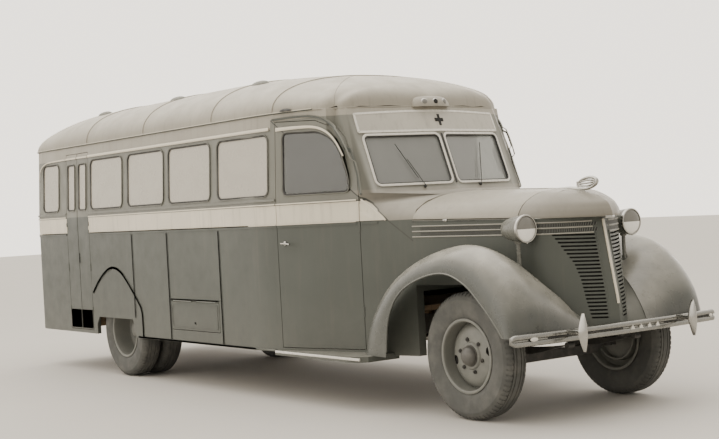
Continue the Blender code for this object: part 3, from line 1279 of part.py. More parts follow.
def main():
    reset_scene()
    mats = {
        "dark": material("dark_paint", (0.13, 0.14, 0.12), 0.5),
        "light": material("light_paint", (0.42, 0.41, 0.36), 0.5),
        "wheel": material("wheel_paint", (0.16, 0.17, 0.15), 0.5),
        "black": material("frame_black", (0.03, 0.03, 0.03), 0.7),
        "rubber": material("rubber", (0.05, 0.05, 0.05), 0.9),
        "wood": material("floor_wood", (0.25, 0.17, 0.10), 0.8),
        "chrome": material("chrome", (0.8, 0.8, 0.8), 0.15, 1.0),
        "leather": material("seat_leather", (0.10, 0.06, 0.04), 0.6),
        "glass": material("glass", (0.6, 0.65, 0.63), 0.05),
    }
    body_panels(mats)
    floor(mats)
    chassis(mats)
    running_gear(mats)
    wheels(mats)
    fenders(mats)
    front_sheet(mats)
    bumper(mats)
    headlamps(mats)
    steps(mats)
    windscreens(mats)
    cab_inside(mats)
    underneath(mats)


main()
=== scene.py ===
import json
import math

import bmesh
import bpy
from mathutils import Matrix, Vector
from mathutils.bvhtree import BVHTree


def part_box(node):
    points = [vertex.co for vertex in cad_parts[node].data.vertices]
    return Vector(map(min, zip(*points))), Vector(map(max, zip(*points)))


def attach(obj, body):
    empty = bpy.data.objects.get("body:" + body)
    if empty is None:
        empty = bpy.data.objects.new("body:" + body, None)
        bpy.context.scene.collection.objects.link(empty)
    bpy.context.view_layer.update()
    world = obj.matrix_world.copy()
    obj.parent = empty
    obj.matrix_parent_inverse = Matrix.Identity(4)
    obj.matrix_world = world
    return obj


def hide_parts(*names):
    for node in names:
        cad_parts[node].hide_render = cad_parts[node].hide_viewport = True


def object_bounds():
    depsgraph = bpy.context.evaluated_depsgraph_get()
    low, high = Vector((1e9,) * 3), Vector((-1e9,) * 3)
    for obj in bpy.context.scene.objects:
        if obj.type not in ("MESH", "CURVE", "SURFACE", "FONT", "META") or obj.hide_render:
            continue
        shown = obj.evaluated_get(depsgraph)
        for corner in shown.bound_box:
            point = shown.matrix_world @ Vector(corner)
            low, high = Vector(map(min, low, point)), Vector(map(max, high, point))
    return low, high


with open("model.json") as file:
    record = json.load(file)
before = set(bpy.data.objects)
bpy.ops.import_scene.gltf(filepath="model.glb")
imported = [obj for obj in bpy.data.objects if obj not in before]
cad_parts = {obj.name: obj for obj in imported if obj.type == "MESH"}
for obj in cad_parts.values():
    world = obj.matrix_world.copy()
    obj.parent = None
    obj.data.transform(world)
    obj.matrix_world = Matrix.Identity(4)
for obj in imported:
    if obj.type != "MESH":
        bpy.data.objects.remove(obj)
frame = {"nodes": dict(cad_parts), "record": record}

bl_info = {
    "name": "Ambulance Truck Finish",
    "version": (1, 0, 0),
    "blender": (4, 5, 0),
    "location": "3D View > Sidebar > Ambulance",
    "description": "Paint, glass, rubber and trim for the packed ambulance truck",
    "category": "Object",
}

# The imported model's own sizes
CAD_LOW, CAD_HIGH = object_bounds()
FRONT_AXLE = (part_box("front_tyre_right")[0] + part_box("front_tyre_right")[1]) / 2
REAR_AXLE = (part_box("rear_tyre_right_outer")[0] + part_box("rear_tyre_right_outer")[1]) / 2
TYRE_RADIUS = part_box("front_tyre_right")[1].z / 2
DRIP_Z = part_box("roof")[0].z
CROWN_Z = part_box("roof")[1].z
REAR_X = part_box("roof")[0].x
DRIP_SHARE = 0.965
BODY_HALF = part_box("roof")[1].y / DRIP_SHARE
NODE_BODY = {node: body for body, nodes in frame["record"]["behaviour"]["bodies"].items() for node in nodes}

# Heights of the paint lines
BELT_Z = 1.65
BAND = (1.489, 1.650)
CANT_Z = 2.295
BROW_Z = 2.36
SIDES = ((-1, "right"), (1, "left"))
BAND_END = -1.150
BAND_SWEEP = 1.327


def fa(distance):
    """A place along X given from the front axle."""
    return FRONT_AXLE.x + distance


def colour_of(name, about, default):
    """A colour that the sidebar shows."""
    return bpy.props.FloatVectorProperty(name=name, description=about, subtype="COLOR", size=3, min=0, max=1,
                                         default=default)


def place_of(name, about, default):
    """A length that the sidebar shows."""
    return bpy.props.FloatProperty(name=name, description=about, default=default, subtype="DISTANCE", unit="LENGTH")


def angle_of(name, about, degrees):
    """An angle that the sidebar shows."""
    return bpy.props.FloatProperty(name=name, description=about, default=math.radians(degrees), subtype="ANGLE")


class TruckPaint(bpy.types.PropertyGroup):
    """Colours of the coachwork"""
    dark: colour_of("Lower paint", "Paint below the waist band", (0.072, 0.079, 0.069))
    light: colour_of("Roof paint", "Paint of the roof and bonnet top", (0.306, 0.286, 0.239))
    band: colour_of("Band paint", "Waist band and pale mouldings", (0.627, 0.580, 0.475))
    pillar: colour_of("Pillar paint", "Paint between the windows", (0.159, 0.159, 0.135))
    pane: colour_of("Blanked panes", "Paint behind the ward's glass", (0.420, 0.395, 0.336))


class TruckStage(bpy.types.PropertyGroup):
    """Camera, floor and lights"""
    lens: bpy.props.FloatProperty(
        name="Focal length", description="Camera lens", default=66.58, min=20, max=300, subtype="DISTANCE_CAMERA")
    ahead: place_of("Camera ahead", "Camera place ahead of the front axle", 7.3952)
    aside: place_of("Camera aside", "Camera place to the right of the centre line", 7.1616)
    height: place_of("Camera height", "Camera place above the ground", 1.588)
    yaw: angle_of("Yaw", "Turn of the view away from straight back", 36.1765)
    pitch: angle_of("Pitch", "Tilt of the view above level", -0.4651)
    roll: angle_of("Roll", "Turn of the picture about the view", -3.0948)
    floor: colour_of("Floor", "Colour of the floor", (0.558, 0.535, 0.495))
    sky: colour_of("Backdrop", "Colour of the light all round", (0.95, 0.885, 0.79))


# Shader helpers


def connect(tree, made, inputs):
    """Link a node's inputs to sockets, or set their values."""
    for key, value in dict(inputs).items():
        if isinstance(value, bpy.types.NodeSocket):
            tree.links.new(value, made.inputs[key])
        else:
            made.inputs[key].default_value = value
    return made


def add_node(tree, kind, inputs=(), **settings):
    """A shader node with its settings, its input values and its links."""
    made = tree.nodes.new("ShaderNode" + kind)
    for key, value in settings.items():
        setattr(made, key, value)
    return connect(tree, made, inputs)


def mix_colours(tree, share, first, second):
    """Blend two colours or colour sockets."""
    mix = add_node(tree, "Mix", {0: share}, data_type="RGBA")
    for index, value in ((6, first), (7, second)):
        connect(tree, mix, {index: value if isinstance(value, bpy.types.NodeSocket) else (*value, 1.0)})
    return mix.outputs[2]


def ramp(tree, value, start, end, low=0.0, high=1.0):
    """A share that runs from low to high as a value runs from start to end."""
    return add_node(tree, "MapRange", {"Value": value, "From Min": start, "From Max": end, "To Min": low,
                                       "To Max": high}).outputs[0]


def step_up(tree, value, at, soft=0.0015):
    """0 below a level and 1 above it."""
    return ramp(tree, value, at - soft, at + soft)


def times(tree, first, second, clamp=False):
    return add_node(tree, "Math", {0: first, 1: second}, operation="MULTIPLY", use_clamp=clamp).outputs[0]


def reach(tree, vector, direction):
    """How far a vector reaches in a direction, such as the height of a place."""
    return add_node(tree, "VectorMath", {0: vector, 1: direction}, operation="DOT_PRODUCT").outputs["Value"]


def noise(tree, coords, scale, detail=4.0, rough=0.55):
    made = add_node(tree, "TexNoise", {"Vector": coords, "Scale": scale, "Detail": detail, "Roughness": rough})
    return made.outputs[0]


def bump(tree, height, strength, distance, under=None):
    """The normal of a bumpy skin, laid over another bump's normal if there is one."""
    inputs = {"Height": height, "Strength": strength, "Distance": distance}
    if under is not None:
        inputs["Normal"] = under
    return add_node(tree, "Bump", inputs).outputs[0]


def new_finish(name):
    """An empty node material with its Principled shader and its object coordinates."""
    mat = bpy.data.materials.new(name)
    mat.use_nodes = True
    tree = mat.node_tree
    return mat, tree, tree.nodes["Principled BSDF"], add_node(tree, "TexCoord").outputs["Object"]


def layered(tree, level, layers):
    """Colours in level layers: the lowest, then (height, colour) pairs upwards."""
    base = add_node(tree, "RGB")
    base.outputs[0].default_value = (*layers[0], 1.0)
    colour = base.outputs[0]
    for at, above in layers[1:]:
        colour = mix_colours(tree, step_up(tree, level, at), colour, above)
    return colour


SHADOW = (0.05, 0.052, 0.045)


def coachwork(name, layers, slope=0.0, roughness=0.36, dust_and_sheen=0.35, mud=0.5, cowl=None, shine=0.3):
    """Brushed and weathered paint in level layers, with others ahead of the band's swept tip.

    A slope tilts the layers along X, where a paint line falls towards the front."""
    mat, tree, shader, place = new_finish(name)
    level = reach(tree, place, (slope, 0.0, 1.0))
    colour = layered(tree, level, layers)
    if cowl:
        ahead = reach(tree, place, (1.0 / BAND_SWEEP, 0.0, 1.0))
        tip = BAND[1] + fa(BAND_END) / BAND_SWEEP
        # a thin SHADOW line edges the band's swept tip: painted shade beside its moulding
        joint = mix_colours(tree, step_up(tree, ahead, tip - 0.006), colour, SHADOW)
        colour = mix_colours(tree, step_up(tree, ahead, tip + 0.006), joint, layered(tree, level, cowl))
    # broad fading, and rain streaks that run down the panels
    fading = ramp(tree, noise(tree, place, 1.3, 5.0), 0.3, 0.7, 0.90, 1.10)
    faded = add_node(tree, "HueSaturation", {"Color": colour, "Value": fading})
    stretched = add_node(tree, "Mapping", {"Vector": place, "Scale": (9.0, 9.0, 0.9)})
    grime = ramp(tree, noise(tree, stretched.outputs[0], 2.2, 6.0, 0.6), 0.52, 0.78, 0.0, 0.30)
    colour = mix_colours(tree, grime, faded.outputs[0], (0.115, 0.108, 0.090))
    # pale dusting and a painted sky sheen lighten what faces up, and mud is thrown up from the road
    facing = reach(tree, place.node.outputs["Normal"], (0.0, 0.0, 1.0))
    laid = times(tree, ramp(tree, facing, 0.15, 0.95, 0.0, dust_and_sheen), noise(tree, place, 5.0, 5.0))
    colour = mix_colours(tree, times(tree, laid, 1.6, True), colour, (0.52, 0.495, 0.43))
    splash = times(tree, ramp(tree, level, 0.95, 0.38, 0.0, mud), noise(tree, place, 11.0, 6.0, 0.65))
    colour = mix_colours(tree, splash, colour, (0.15, 0.145, 0.125))
    # sheet metal is never flat: broad waves, and the brush marks of the paint
    waves = bump(tree, noise(tree, place, 1.7, 2.0), 0.35, 0.012)
    connect(tree, shader, {
        "Base Color": colour,
        "Roughness": ramp(tree, noise(tree, place, 7.0, 6.0), 0.3, 0.7, roughness - 0.07, roughness + 0.13),
        "Specular IOR Level": shine,
        "Normal": bump(tree, noise(tree, place, 160.0, 3.0), 0.10, 0.001, waves)})
    return mat


def plain_metal(name, colour, roughness, metallic=0.0, spotting=0.25, spots=(0.2, 0.19, 0.17), scale=14.0):
    """A worked metal, rubber or enamel with mottled colour, uneven gloss and a fine grain."""
    mat, tree, shader, place = new_finish(name)
    share = ramp(tree, noise(tree, place, scale, 6.0, 0.6), 0.45, 0.75, 0.0, spotting)
    gloss = ramp(tree, noise(tree, place, scale * 2.3, 5.0), 0.3, 0.7, max(0.03, roughness - 0.08), roughness + 0.12)
    connect(tree, shader, {
        "Base Color": mix_colours(tree, share, colour, spots), "Roughness": gloss, "Metallic": metallic,
        "Normal": bump(tree, noise(tree, place, scale * 20.0, 3.0), 0.12, 0.001)})
    return mat


def wood_boards(name):
    """Long narrow boards with grain, gaps and worn paint."""
    mat, tree, shader, place = new_finish(name)
    grain = add_node(tree, "Mapping", {"Vector": place, "Scale": (0.7, 22.0, 22.0)})
    fibre = noise(tree, grain.outputs[0], 5.0, 8.0, 0.65)
    boards = add_node(tree, "TexWave", {"Vector": place, "Scale": 3.4, "Distortion": 0.0}, wave_type="BANDS",
                      bands_direction="Y", wave_profile="SAW")
    gap = ramp(tree, boards.outputs["Fac"], 0.0, 0.05)
    colour = mix_colours(tree, fibre, (0.15, 0.10, 0.06), (0.32, 0.23, 0.14))
    connect(tree, shader, {"Base Color": mix_colours(tree, gap, (0.03, 0.02, 0.015), colour), "Roughness": 0.75,
                           "Normal": bump(tree, fibre, 0.3, 0.002)})
    return mat


def leather(name):
    """Brown seat leather with a pebbled grain and paler creases."""
    mat, tree, shader, place = new_finish(name)
    pebbles = add_node(tree, "TexVoronoi", {"Vector": place, "Scale": 260.0}, feature="DISTANCE_TO_EDGE")
    wear = noise(tree, place, 9.0, 6.0, 0.6)
    connect(tree, shader, {"Base Color": mix_colours(tree, wear, (0.075, 0.045, 0.03), (0.19, 0.12, 0.08)),
                           "Roughness": 0.48, "Normal": bump(tree, pebbles.outputs["Distance"], 0.35, 0.002)})
    return mat


def louvres(name):
    """Fine upright slits between narrow bars; the near-black in the slits is painted shade."""
    mat, tree, shader, place = new_finish(name)
    bars = add_node(tree, "TexWave", {"Vector": place, "Scale": 42.0, "Distortion": 0.0}, wave_type="BANDS",
                    bands_direction="X", wave_profile="SIN")
    share = ramp(tree, bars.outputs["Fac"], 0.62, 0.85)
    connect(tree, shader, {"Base Color": mix_colours(tree, share, (0.012, 0.012, 0.011), (0.10, 0.105, 0.09)),
                           "Roughness": 0.6, "Normal": bump(tree, share, 0.6, 0.003)})
    return mat


def pane_glass(name, colour, roughness, transmission, shine=0.5):
    """Old plate glass with faint ripples and a dirty film."""
    mat, tree, shader, place = new_finish(name)
    film = noise(tree, place, 6.0, 5.0)
    connect(tree, shader, {
        "Base Color": mix_colours(tree, film, colour, [c * 0.86 for c in colour]),
        "Roughness": ramp(tree, film, 0.3, 0.7, roughness, roughness + 0.10),
        "Transmission Weight": transmission, "Specular IOR Level": shine, "IOR": 1.45,
        "Normal": bump(tree, noise(tree, place, 4.0, 2.0), 0.15, 0.004)})
    return mat


# metals, rubbers and enamels: colour, roughness, share of bare metal, share of spots, their colour, scale of the grain
METALS = {
    "wheel": ((0.150, 0.152, 0.136), 0.5, 0.0, 0.5, (0.20, 0.195, 0.17)),
    "black": ((0.035, 0.034, 0.031), 0.65, 0.0, 0.5, (0.13, 0.12, 0.10)),
    "rubber": ((0.070, 0.071, 0.066), 0.78, 0.0, 0.75, (0.135, 0.132, 0.117), 7.0),
    "seal": ((0.022, 0.022, 0.021), 0.6, 0.0, 0.2),
    "chrome": ((0.42, 0.415, 0.39), 0.18, 1.0, 0.35, (0.26, 0.25, 0.23)),
    "steel": ((0.42, 0.41, 0.38), 0.42, 1.0, 0.4),
    # near-black for black parts, and painted shade inside cut holes and behind the grille's slots
    "black_and_shade": ((0.012, 0.012, 0.011), 0.85, 0.0, 0.1),
    "cap": ((0.075, 0.072, 0.065), 0.38, 0.0, 0.5, (0.16, 0.15, 0.13)),
    "lamp_paint": ((0.125, 0.127, 0.112), 0.26, 0.0, 0.3, (0.17, 0.165, 0.14)),
    "rib_paint": ((0.30, 0.29, 0.25), 0.35, 0.0, 0.3, (0.20, 0.195, 0.165)),
    "bright": ((0.66, 0.64, 0.58), 0.25, 0.0, 0.1),
    "bumper_metal": ((0.25, 0.25, 0.235), 0.26, 1.0, 0.5, (0.36, 0.35, 0.32)),
}
# glass and lenses: colour, roughness, share of light let through, shine
GLASSES = {
    "clear": ((0.72, 0.74, 0.72), 0.02, 0.94, 0.12),
    "screen_glass": ((0.44, 0.45, 0.43), 0.03, 0.55),
    # pale opaque glass for the headlamps' lower halves: a painted reflection
    "lens_painted_reflection": ((0.93, 0.91, 0.85), 0.08, 0.0),
    "red_lens": ((0.30, 0.03, 0.025), 0.10, 0.15),
    "lens": ((0.21, 0.205, 0.185), 0.12, 0.10),
}
FINISHES = {}


def finish_of(name):
    """A material by its plain name, made when it is first asked for."""
    if name not in FINISHES:
        FINISHES[name] = make_finish(name)
    return FINISHES[name]


def dim(colour, share):
    return tuple(c * share for c in colour)


def make_finish(name):
    """The finish of a name, with the sidebar's colours in what is painted."""
    if name in METALS:
        return plain_metal(name, *METALS[name])
    if name in GLASSES:
        return pane_glass(name, *GLASSES[name])
    paint = bpy.context.scene.truck_paint
    colours = (paint.dark, paint.light, paint.band, paint.pillar, paint.pane)
    dark, light, band, pillar, pane = (tuple(colour) for colour in colours)
    window_line = (BAND[1] + 0.010, pillar)
    waist = [dark, (1.481, SHADOW), (BAND[0], band), (BAND[1], SHADOW), window_line]
    makers = {
        "walls": lambda: coachwork(name, waist + [(CANT_Z, light)]),
        "ward_leaf": lambda: coachwork(name, [dark, window_line, (CANT_Z, light)]),
        # the cab's cowl top is the roof paint darkened, a painted shade
        "cab": lambda: coachwork(name, waist + [(BROW_Z, light)],
                                 cowl=[dark, (1.483, dim(light, 0.68)), (1.735, pillar), (BROW_Z, light)]),
        "dark": lambda: coachwork(name, [dark]),
        # the fender paint is the lower paint darkened, painted shade for its sides, and its crown takes painted sky
        # sheen
        "fender": lambda: coachwork(name, [dim(dark, 0.72)], dust_and_sheen=0.66, mud=0.4, roughness=0.26, shine=0.6),
        "light": lambda: coachwork(name, [light], dust_and_sheen=0.15, mud=0.0),
        # the roof takes the most painted sky sheen on its upward faces
        "roof": lambda: coachwork(name, [light], dust_and_sheen=1.0, mud=0.0, roughness=0.5),
        # the bonnet top is the roof paint darkened, a painted shade
        "bonnet_paint": lambda: coachwork(name, [dark, (1.474 + EDGE_FALL * fa(COWL), dim(light, 0.64))],
                                          slope=EDGE_FALL, dust_and_sheen=0.26),
        "inside": lambda: coachwork(name, [(0.115, 0.113, 0.095)], dust_and_sheen=0.1, mud=0.1, roughness=0.6),
        "board": lambda: coachwork(name, [(0.43, 0.41, 0.36)], dust_and_sheen=0.1, mud=0.0),
        "band": lambda: plain_metal(name, band, 0.45, spotting=0.12, spots=(0.42, 0.38, 0.30)),
        "pillar": lambda: plain_metal(name, pillar, 0.45, spotting=0.2, spots=(0.22, 0.22, 0.185)),
        "wood": lambda: wood_boards(name),
        "leather": lambda: leather(name),
        "louvre": lambda: louvres(name),
        "pane": lambda: pane_glass(name, pane, 0.22, 0.0),
    }
    return makers[name]()


# Shape helpers

# the record's slot that a finish stands for, where a piece names no other
SLOTS = {"dark_paint": ("dark", "fender", "bonnet_paint", "pillar", "louvre"),
         "light_paint": ("light", "roof", "band", "board", "bright", "rib_paint"),
         "chrome": ("chrome", "bumper_metal", "lamp_paint"),
         "rubber": ("rubber", "seal"),
         "glass": ("pane", "clear", "lens", "lens_painted_reflection", "red_lens"),
         "seat_leather": ("leather",)}
SLOT_OF = {finish: slot for slot, finishes in SLOTS.items() for finish in finishes}


def as_mesh(name, bm):
    mesh = bpy.data.meshes.new(name)
    bm.to_mesh(mesh)
    bm.free()
    return mesh


def add_object(name, data):
    """An object in the scene for a mesh, a curve, a lamp or a camera."""
    obj = bpy.data.objects.new(name, data)
    bpy.context.scene.collection.objects.link(obj)
    return obj


def weld(bm, dist):
    """Merge a shape's doubles."""
    bmesh.ops.remove_doubles(bm, verts=bm.verts, dist=dist)


def swap(point, side):
    """A left-hand point, or its twin on the right where side is below 0."""
    return Vector((point.x, side * point.y, point.z))


def held(bm, axis, low=-math.inf, high=math.inf):
    """Hold a shape within limits along one axis."""
    for vert in bm.verts:
        vert.co[axis] = max(low, min(high, vert.co[axis]))
    return bm


def moved(bm, matrix):
    """Move a shape by a matrix, in place."""
    bmesh.ops.transform(bm, matrix=matrix, verts=bm.verts)
    return bm


def smooth(mesh, angle):
    """Shade a mesh smoothly up to an angle."""
    mesh.shade_smooth()
    mesh.set_sharp_from_angle(angle=math.radians(angle))


def piece(name, bm, finish, angle=35.0, body="body", slot=None):
    """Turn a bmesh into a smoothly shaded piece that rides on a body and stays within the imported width."""
    held(bm, 1, CAD_LOW.y, CAD_HIGH.y)
    mesh = as_mesh(name, bm)
    mesh.materials.append(finish_of(finish))
    smooth(mesh, angle)
    obj = add_object(name, mesh)
    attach(obj, body)
    slot = SLOT_OF.get(finish) if slot is None else slot
    return obj


def add_modifier(obj, kind, **settings):
    made = obj.modifiers.new(kind.lower(), kind)
    for key, value in settings.items():
        setattr(made, key, value)
    return made


def settle(obj, angle=35.0):
    """Apply a piece's modifiers."""
    bpy.context.view_layer.update()
    graph = bpy.context.evaluated_depsgraph_get()
    mesh = bpy.data.meshes.new_from_object(obj.evaluated_get(graph))
    obj.modifiers.clear()
    old = obj.data
    obj.data = mesh
    bpy.data.meshes.remove(old)
    smooth(mesh, angle)
    return obj


def thicken(obj, thickness, angle):
    """Give a sheet its thickness on the inside."""
    add_modifier(obj, "SOLIDIFY", thickness=thickness, offset=-1.0)
    return settle(obj, angle)


def merged(node):
    """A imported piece's mesh with its triangles joined."""
    bm = bmesh.new()
    bm.from_mesh(frame["nodes"][node].data)
    weld(bm, 0.00003)
    bmesh.ops.dissolve_limit(bm, angle_limit=math.radians(0.2), verts=bm.verts, edges=bm.edges)
    return bm


def sheet(across, along, place):
    """A grid laid on a surface; place turns two shares from 0 to 1 into a point."""
    bm = bmesh.new()
    bmesh.ops.create_grid(bm, x_segments=across, y_segments=along, size=1.0)
    for vert in bm.verts:
        vert.co = place((vert.co.x + 1.0) / 2.0, (vert.co.y + 1.0) / 2.0)
    return bm


def face_away(bm, centre):
    """Turn an open sheet's faces away from a point."""
    bmesh.ops.recalc_face_normals(bm, faces=bm.faces)
    lean = sum((f.calc_center_median() - centre).dot(f.normal) * f.calc_area() for f in bm.faces)
    if lean < 0:
        bmesh.ops.reverse_faces(bm, faces=bm.faces)


def on_side(bm, side):
    """Swap a left-hand shape for its twin on the right where side is below 0, in place."""
    if side < 0:
        bmesh.ops.scale(bm, vec=(1.0, -1.0, 1.0), verts=bm.verts)
        bmesh.ops.reverse_faces(bm, faces=bm.faces)
    return bm


def everything(bm):
    return bm.verts[:] + bm.edges[:] + bm.faces[:]


def keep_side(bm, point, normal, clear=True):
    """Cut a sheet by a plane and keep what lies behind its normal, or both halves."""
    bmesh.ops.bisect_plane(bm, geom=everything(bm), dist=0.00001, plane_co=point, plane_no=normal, clear_outer=clear)


def through(points, share):
    """A point at a share of the way along a smooth curve through the given points."""
    count = len(points) - 1
    spot = min(max(share, 0.0), 1.0) * count
    i = min(int(spot), count - 1)
    t = spot - i
    a, b, c, d = (Vector(points[min(max(i + k, 0), count)]) for k in (-1, 0, 1, 2))
    return 0.5 * (2 * b + (c - a) * t + (2 * a - 5 * b + 4 * c - d) * t * t + (3 * b - a - 3 * c + d) * t ** 3)


def turned(profile, steps, centre=(0, 0, 0), side=1.0):
    """A profile of (radius, y) pairs turned round the Y axis through centre."""
    bm = bmesh.new()
    verts = [bm.verts.new((r, side * y, 0.0)) for r, y in profile]
    for a, b in zip(verts, verts[1:]):
        bm.edges.new((a, b))
    bmesh.ops.spin(bm, geom=bm.verts[:] + bm.edges[:], cent=(0, 0, 0), axis=(0, 1, 0), angle=math.tau,
                   steps=steps, use_merge=True)
    weld(bm, 0.00005)
    bmesh.ops.recalc_face_normals(bm, faces=bm.faces)
    bmesh.ops.translate(bm, vec=centre, verts=bm.verts)
    return bm


def rope_mesh(points, radius, sides=8, closed=False, flat=0.0):
    """A round or flattened strip along a path of points, as a bmesh; flat is its extra height."""
    curve = bpy.data.curves.new("strip", "CURVE")
    curve.dimensions = "3D"
    curve.twist_mode = "Z_UP"
    curve.bevel_depth = radius
    curve.bevel_resolution = max(0, sides // 2 - 2)
    curve.extrude = flat / 2
    curve.use_fill_caps = True
    spline = curve.splines.new("POLY")
    spline.points.add(len(points) - 1)
    for point, co in zip(spline.points, points):
        point.co = (*co, 1.0)
    spline.use_cyclic_u = closed
    obj = add_object("strip", curve)
    bpy.context.view_layer.update()
    mesh = bpy.data.meshes.new_from_object(obj.evaluated_get(bpy.context.evaluated_depsgraph_get()))
    bpy.data.objects.remove(obj, do_unlink=True)
    bpy.data.curves.remove(curve)
    bm = bmesh.new()
    bm.from_mesh(mesh)
    bpy.data.meshes.remove(mesh)
    weld(bm, 0.00002)
    return bm


def gather(parts):
    """Several bmeshes as one."""
    whole = bmesh.new()
    for part in parts:
        mesh = as_mesh("part", part)
        whole.from_mesh(mesh)
        bpy.data.meshes.remove(mesh)
    return whole


def ring_mesh(rings, closed=True, caps=True):
    """A skin through rings of points, closed at both ends if caps is set."""
    bm = bmesh.new()
    loops = [[bm.verts.new(p) for p in ring] for ring in rings]
    count = len(loops[0])
    for a, b in zip(loops, loops[1:]):
        for i in range(count if closed else count - 1):
            j = (i + 1) % count
            bm.faces.new((a[i], a[j], b[j], b[i]))
    if caps:
        bm.faces.new(loops[0])
        bm.faces.new(loops[-1])
    bmesh.ops.recalc_face_normals(bm, faces=bm.faces)
    return bm


def block(low, high, rounding=0.002, segments=2):
    """A box with rounded edges."""
    bm = bmesh.new()
    bmesh.ops.create_cube(bm, size=1.0)
    low, high = Vector(low), Vector(high)
    for vert in bm.verts:
        vert.co = (low + high) / 2 + vert.co * (high - low)
    bmesh.ops.bevel(bm, geom=bm.edges[:], offset=rounding, segments=segments, profile=0.5, affect="EDGES")
    return bm


def facing(out):
    """The turn that brings the Z axis into a direction."""
    return Vector(out).to_track_quat("Z", "Y").to_matrix().to_4x4()


def bar(start, end, radius, sides=16, end_radius=None):
    """A round bar or cone between two points."""
    bm = bmesh.new()
    start, end = Vector(start), Vector(end)
    bmesh.ops.create_cone(bm, cap_ends=True, segments=sides, radius1=radius,
                          radius2=radius if end_radius is None else end_radius, depth=(end - start).length)
    return moved(bm, Matrix.Translation((start + end) / 2) @ facing(end - start))


def dome(centre, out, radius, height, sides=16, steps=4):
    """A low round head, as of a bolt, that stands out along a direction."""
    rings = []
    for i in range(steps):
        turn = math.radians(90) * i / steps
        rings.append([(radius * math.cos(turn) * math.cos(math.tau * k / sides),
                       radius * math.cos(turn) * math.sin(math.tau * k / sides),
                       height * math.sin(turn)) for k in range(sides)])
    return moved(ring_mesh(rings), Matrix.Translation(centre) @ facing(out))


def bored(obj, cutter, shaded_cut_finish="black_and_shade", angle=35.0):
    """Cut a shape out of a piece and give the cut's faces another finish, near-black by default: painted shade inside
    the hole.
    """
    mesh = as_mesh("cutter", cutter)
    mesh.materials.append(finish_of(shaded_cut_finish))
    tool = add_object("cutter", mesh)
    add_modifier(obj, "BOOLEAN", operation="DIFFERENCE", solver="EXACT", object=tool, material_mode="TRANSFER")
    settle(obj, angle)
    bpy.data.objects.remove(tool, do_unlink=True)
    bpy.data.meshes.remove(mesh)
    return obj


# The body's own surfaces

TAPER_START, TAPER_MIDDLE, TAPER_FULL, TAPER_SLOPE = -2.40, -2.10, -1.80, 0.30
CORNER_RADIUS = 0.30


def side_half(x):
    """Half width of the coachwork below the belt: straight, then tapering towards the cowl."""
    place = x - FRONT_AXLE.x
    if place < TAPER_START:
        return BODY_HALF
    drops = ((TAPER_START, 0.0), (TAPER_MIDDLE, 0.0225), (TAPER_FULL, 0.09))
    for (a, low), (b, high) in zip(drops, drops[1:]):
        if place < b:
            return BODY_HALF - low - (high - low) * (place - a) / (b - a)
    return BODY_HALF - 0.09 - TAPER_SLOPE * (place - TAPER_FULL)


def lean(z):
    """Share of the width that is left as the walls lean in above the belt."""
    return 1.0 - (1.0 - DRIP_SHARE) * max(0.0, z - BELT_Z) / (DRIP_Z - BELT_Z)


def wall_point(x, z, side, out=0.0):
    """A point on a side wall's skin, or a little outside it."""
    corner = REAR_X + CORNER_RADIUS
    half = side_half(x)
    if x < corner:
        half -= CORNER_RADIUS - math.sqrt(max(0.0, CORNER_RADIUS ** 2 - (corner - x) ** 2))
    return Vector((x, side * (half * lean(z) + out), z))


def wall_strip(path, width, side, out, base=-0.002):
    """A raised strip along a path of (x, z) on a side wall's skin."""
    rings = []
    for i, (x, z) in enumerate(path):
        (xa, za), (xb, zb) = path[max(i - 1, 0)], path[min(i + 1, len(path) - 1)]
        wide = width(i / (len(path) - 1)) if callable(width) else width
        across = Vector((za - zb, xb - xa)).normalized() * wide / 2
        rings.append([wall_point(x + across.x * k, z + across.y * k, side, off) for k, off in
                      ((1.0, base), (1.0, out * 0.6), (0.8, out), (-0.8, out), (-1.0, out * 0.6), (-1.0, base))])
    return ring_mesh(rings)


def hug(bm, skin, side):
    """Shift a strip in or out, in one smooth run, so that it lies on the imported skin."""
    gaps = []
    for vert in bm.verts:
        hit = skin.ray_cast(Vector((vert.co.x, side * 1.6, vert.co.z)), Vector((0, -side, 0)))[0]
        if hit:
            gap = hit.y - wall_point(vert.co.x, vert.co.z, side, 0.0).y
            if abs(gap) < 0.045:
                gaps.append((vert.co.x - vert.co.z, gap))
    for vert in bm.verts:
        near = [(math.exp(-((at - vert.co.x + vert.co.z) / 0.09) ** 2), gap) for at, gap in gaps]
        weight = sum(w for w, gap in near)
        if weight > 0.5:
            vert.co.y += sum(w * gap for w, gap in near) / weight
    return bm


def level_path(x0, x1, z, step=0.10):
    """A level path from x0 to x1, both from the front axle."""
    count = max(1, math.ceil(abs(x1 - x0) / step))
    return [(fa(x0 + (x1 - x0) * i / count), z) for i in range(count + 1)]


def drip_plan():
    """The roof's edge on the left half as points from the rear centre round to the front centre."""
    inner = BODY_HALF - CORNER_RADIUS
    plan = [Vector((REAR_X, inner * i / 8)) for i in range(8)]
    for i in range(13):
        turn = math.radians(7.5 * i)
        plan.append(Vector((REAR_X + CORNER_RADIUS * (1 - math.cos(turn)), inner + CORNER_RADIUS * math.sin(turn))))
    start, end = REAR_X + CORNER_RADIUS, fa(-1.52)
    plan += [Vector((start + (end - start) * i / 30, side_half(start + (end - start) * i / 30))) for i in range(1, 31)]
    header = ((-1.484, 0.884), (-1.449, 0.872), (-1.419, 0.83), (-1.409, 0.75), (-1.344, 0.375), (-1.269, 0.0))
    plan += [Vector((fa(x), y)) for x, y in header]
    for smoothing in range(2):
        cut = [plan[0]]
        for a, b in zip(plan, plan[1:]):
            cut += [a * 0.75 + b * 0.25, a * 0.25 + b * 0.75]
        plan = cut + [plan[-1]]
    return [Vector((p.x, p.y * DRIP_SHARE)) for p in plan]


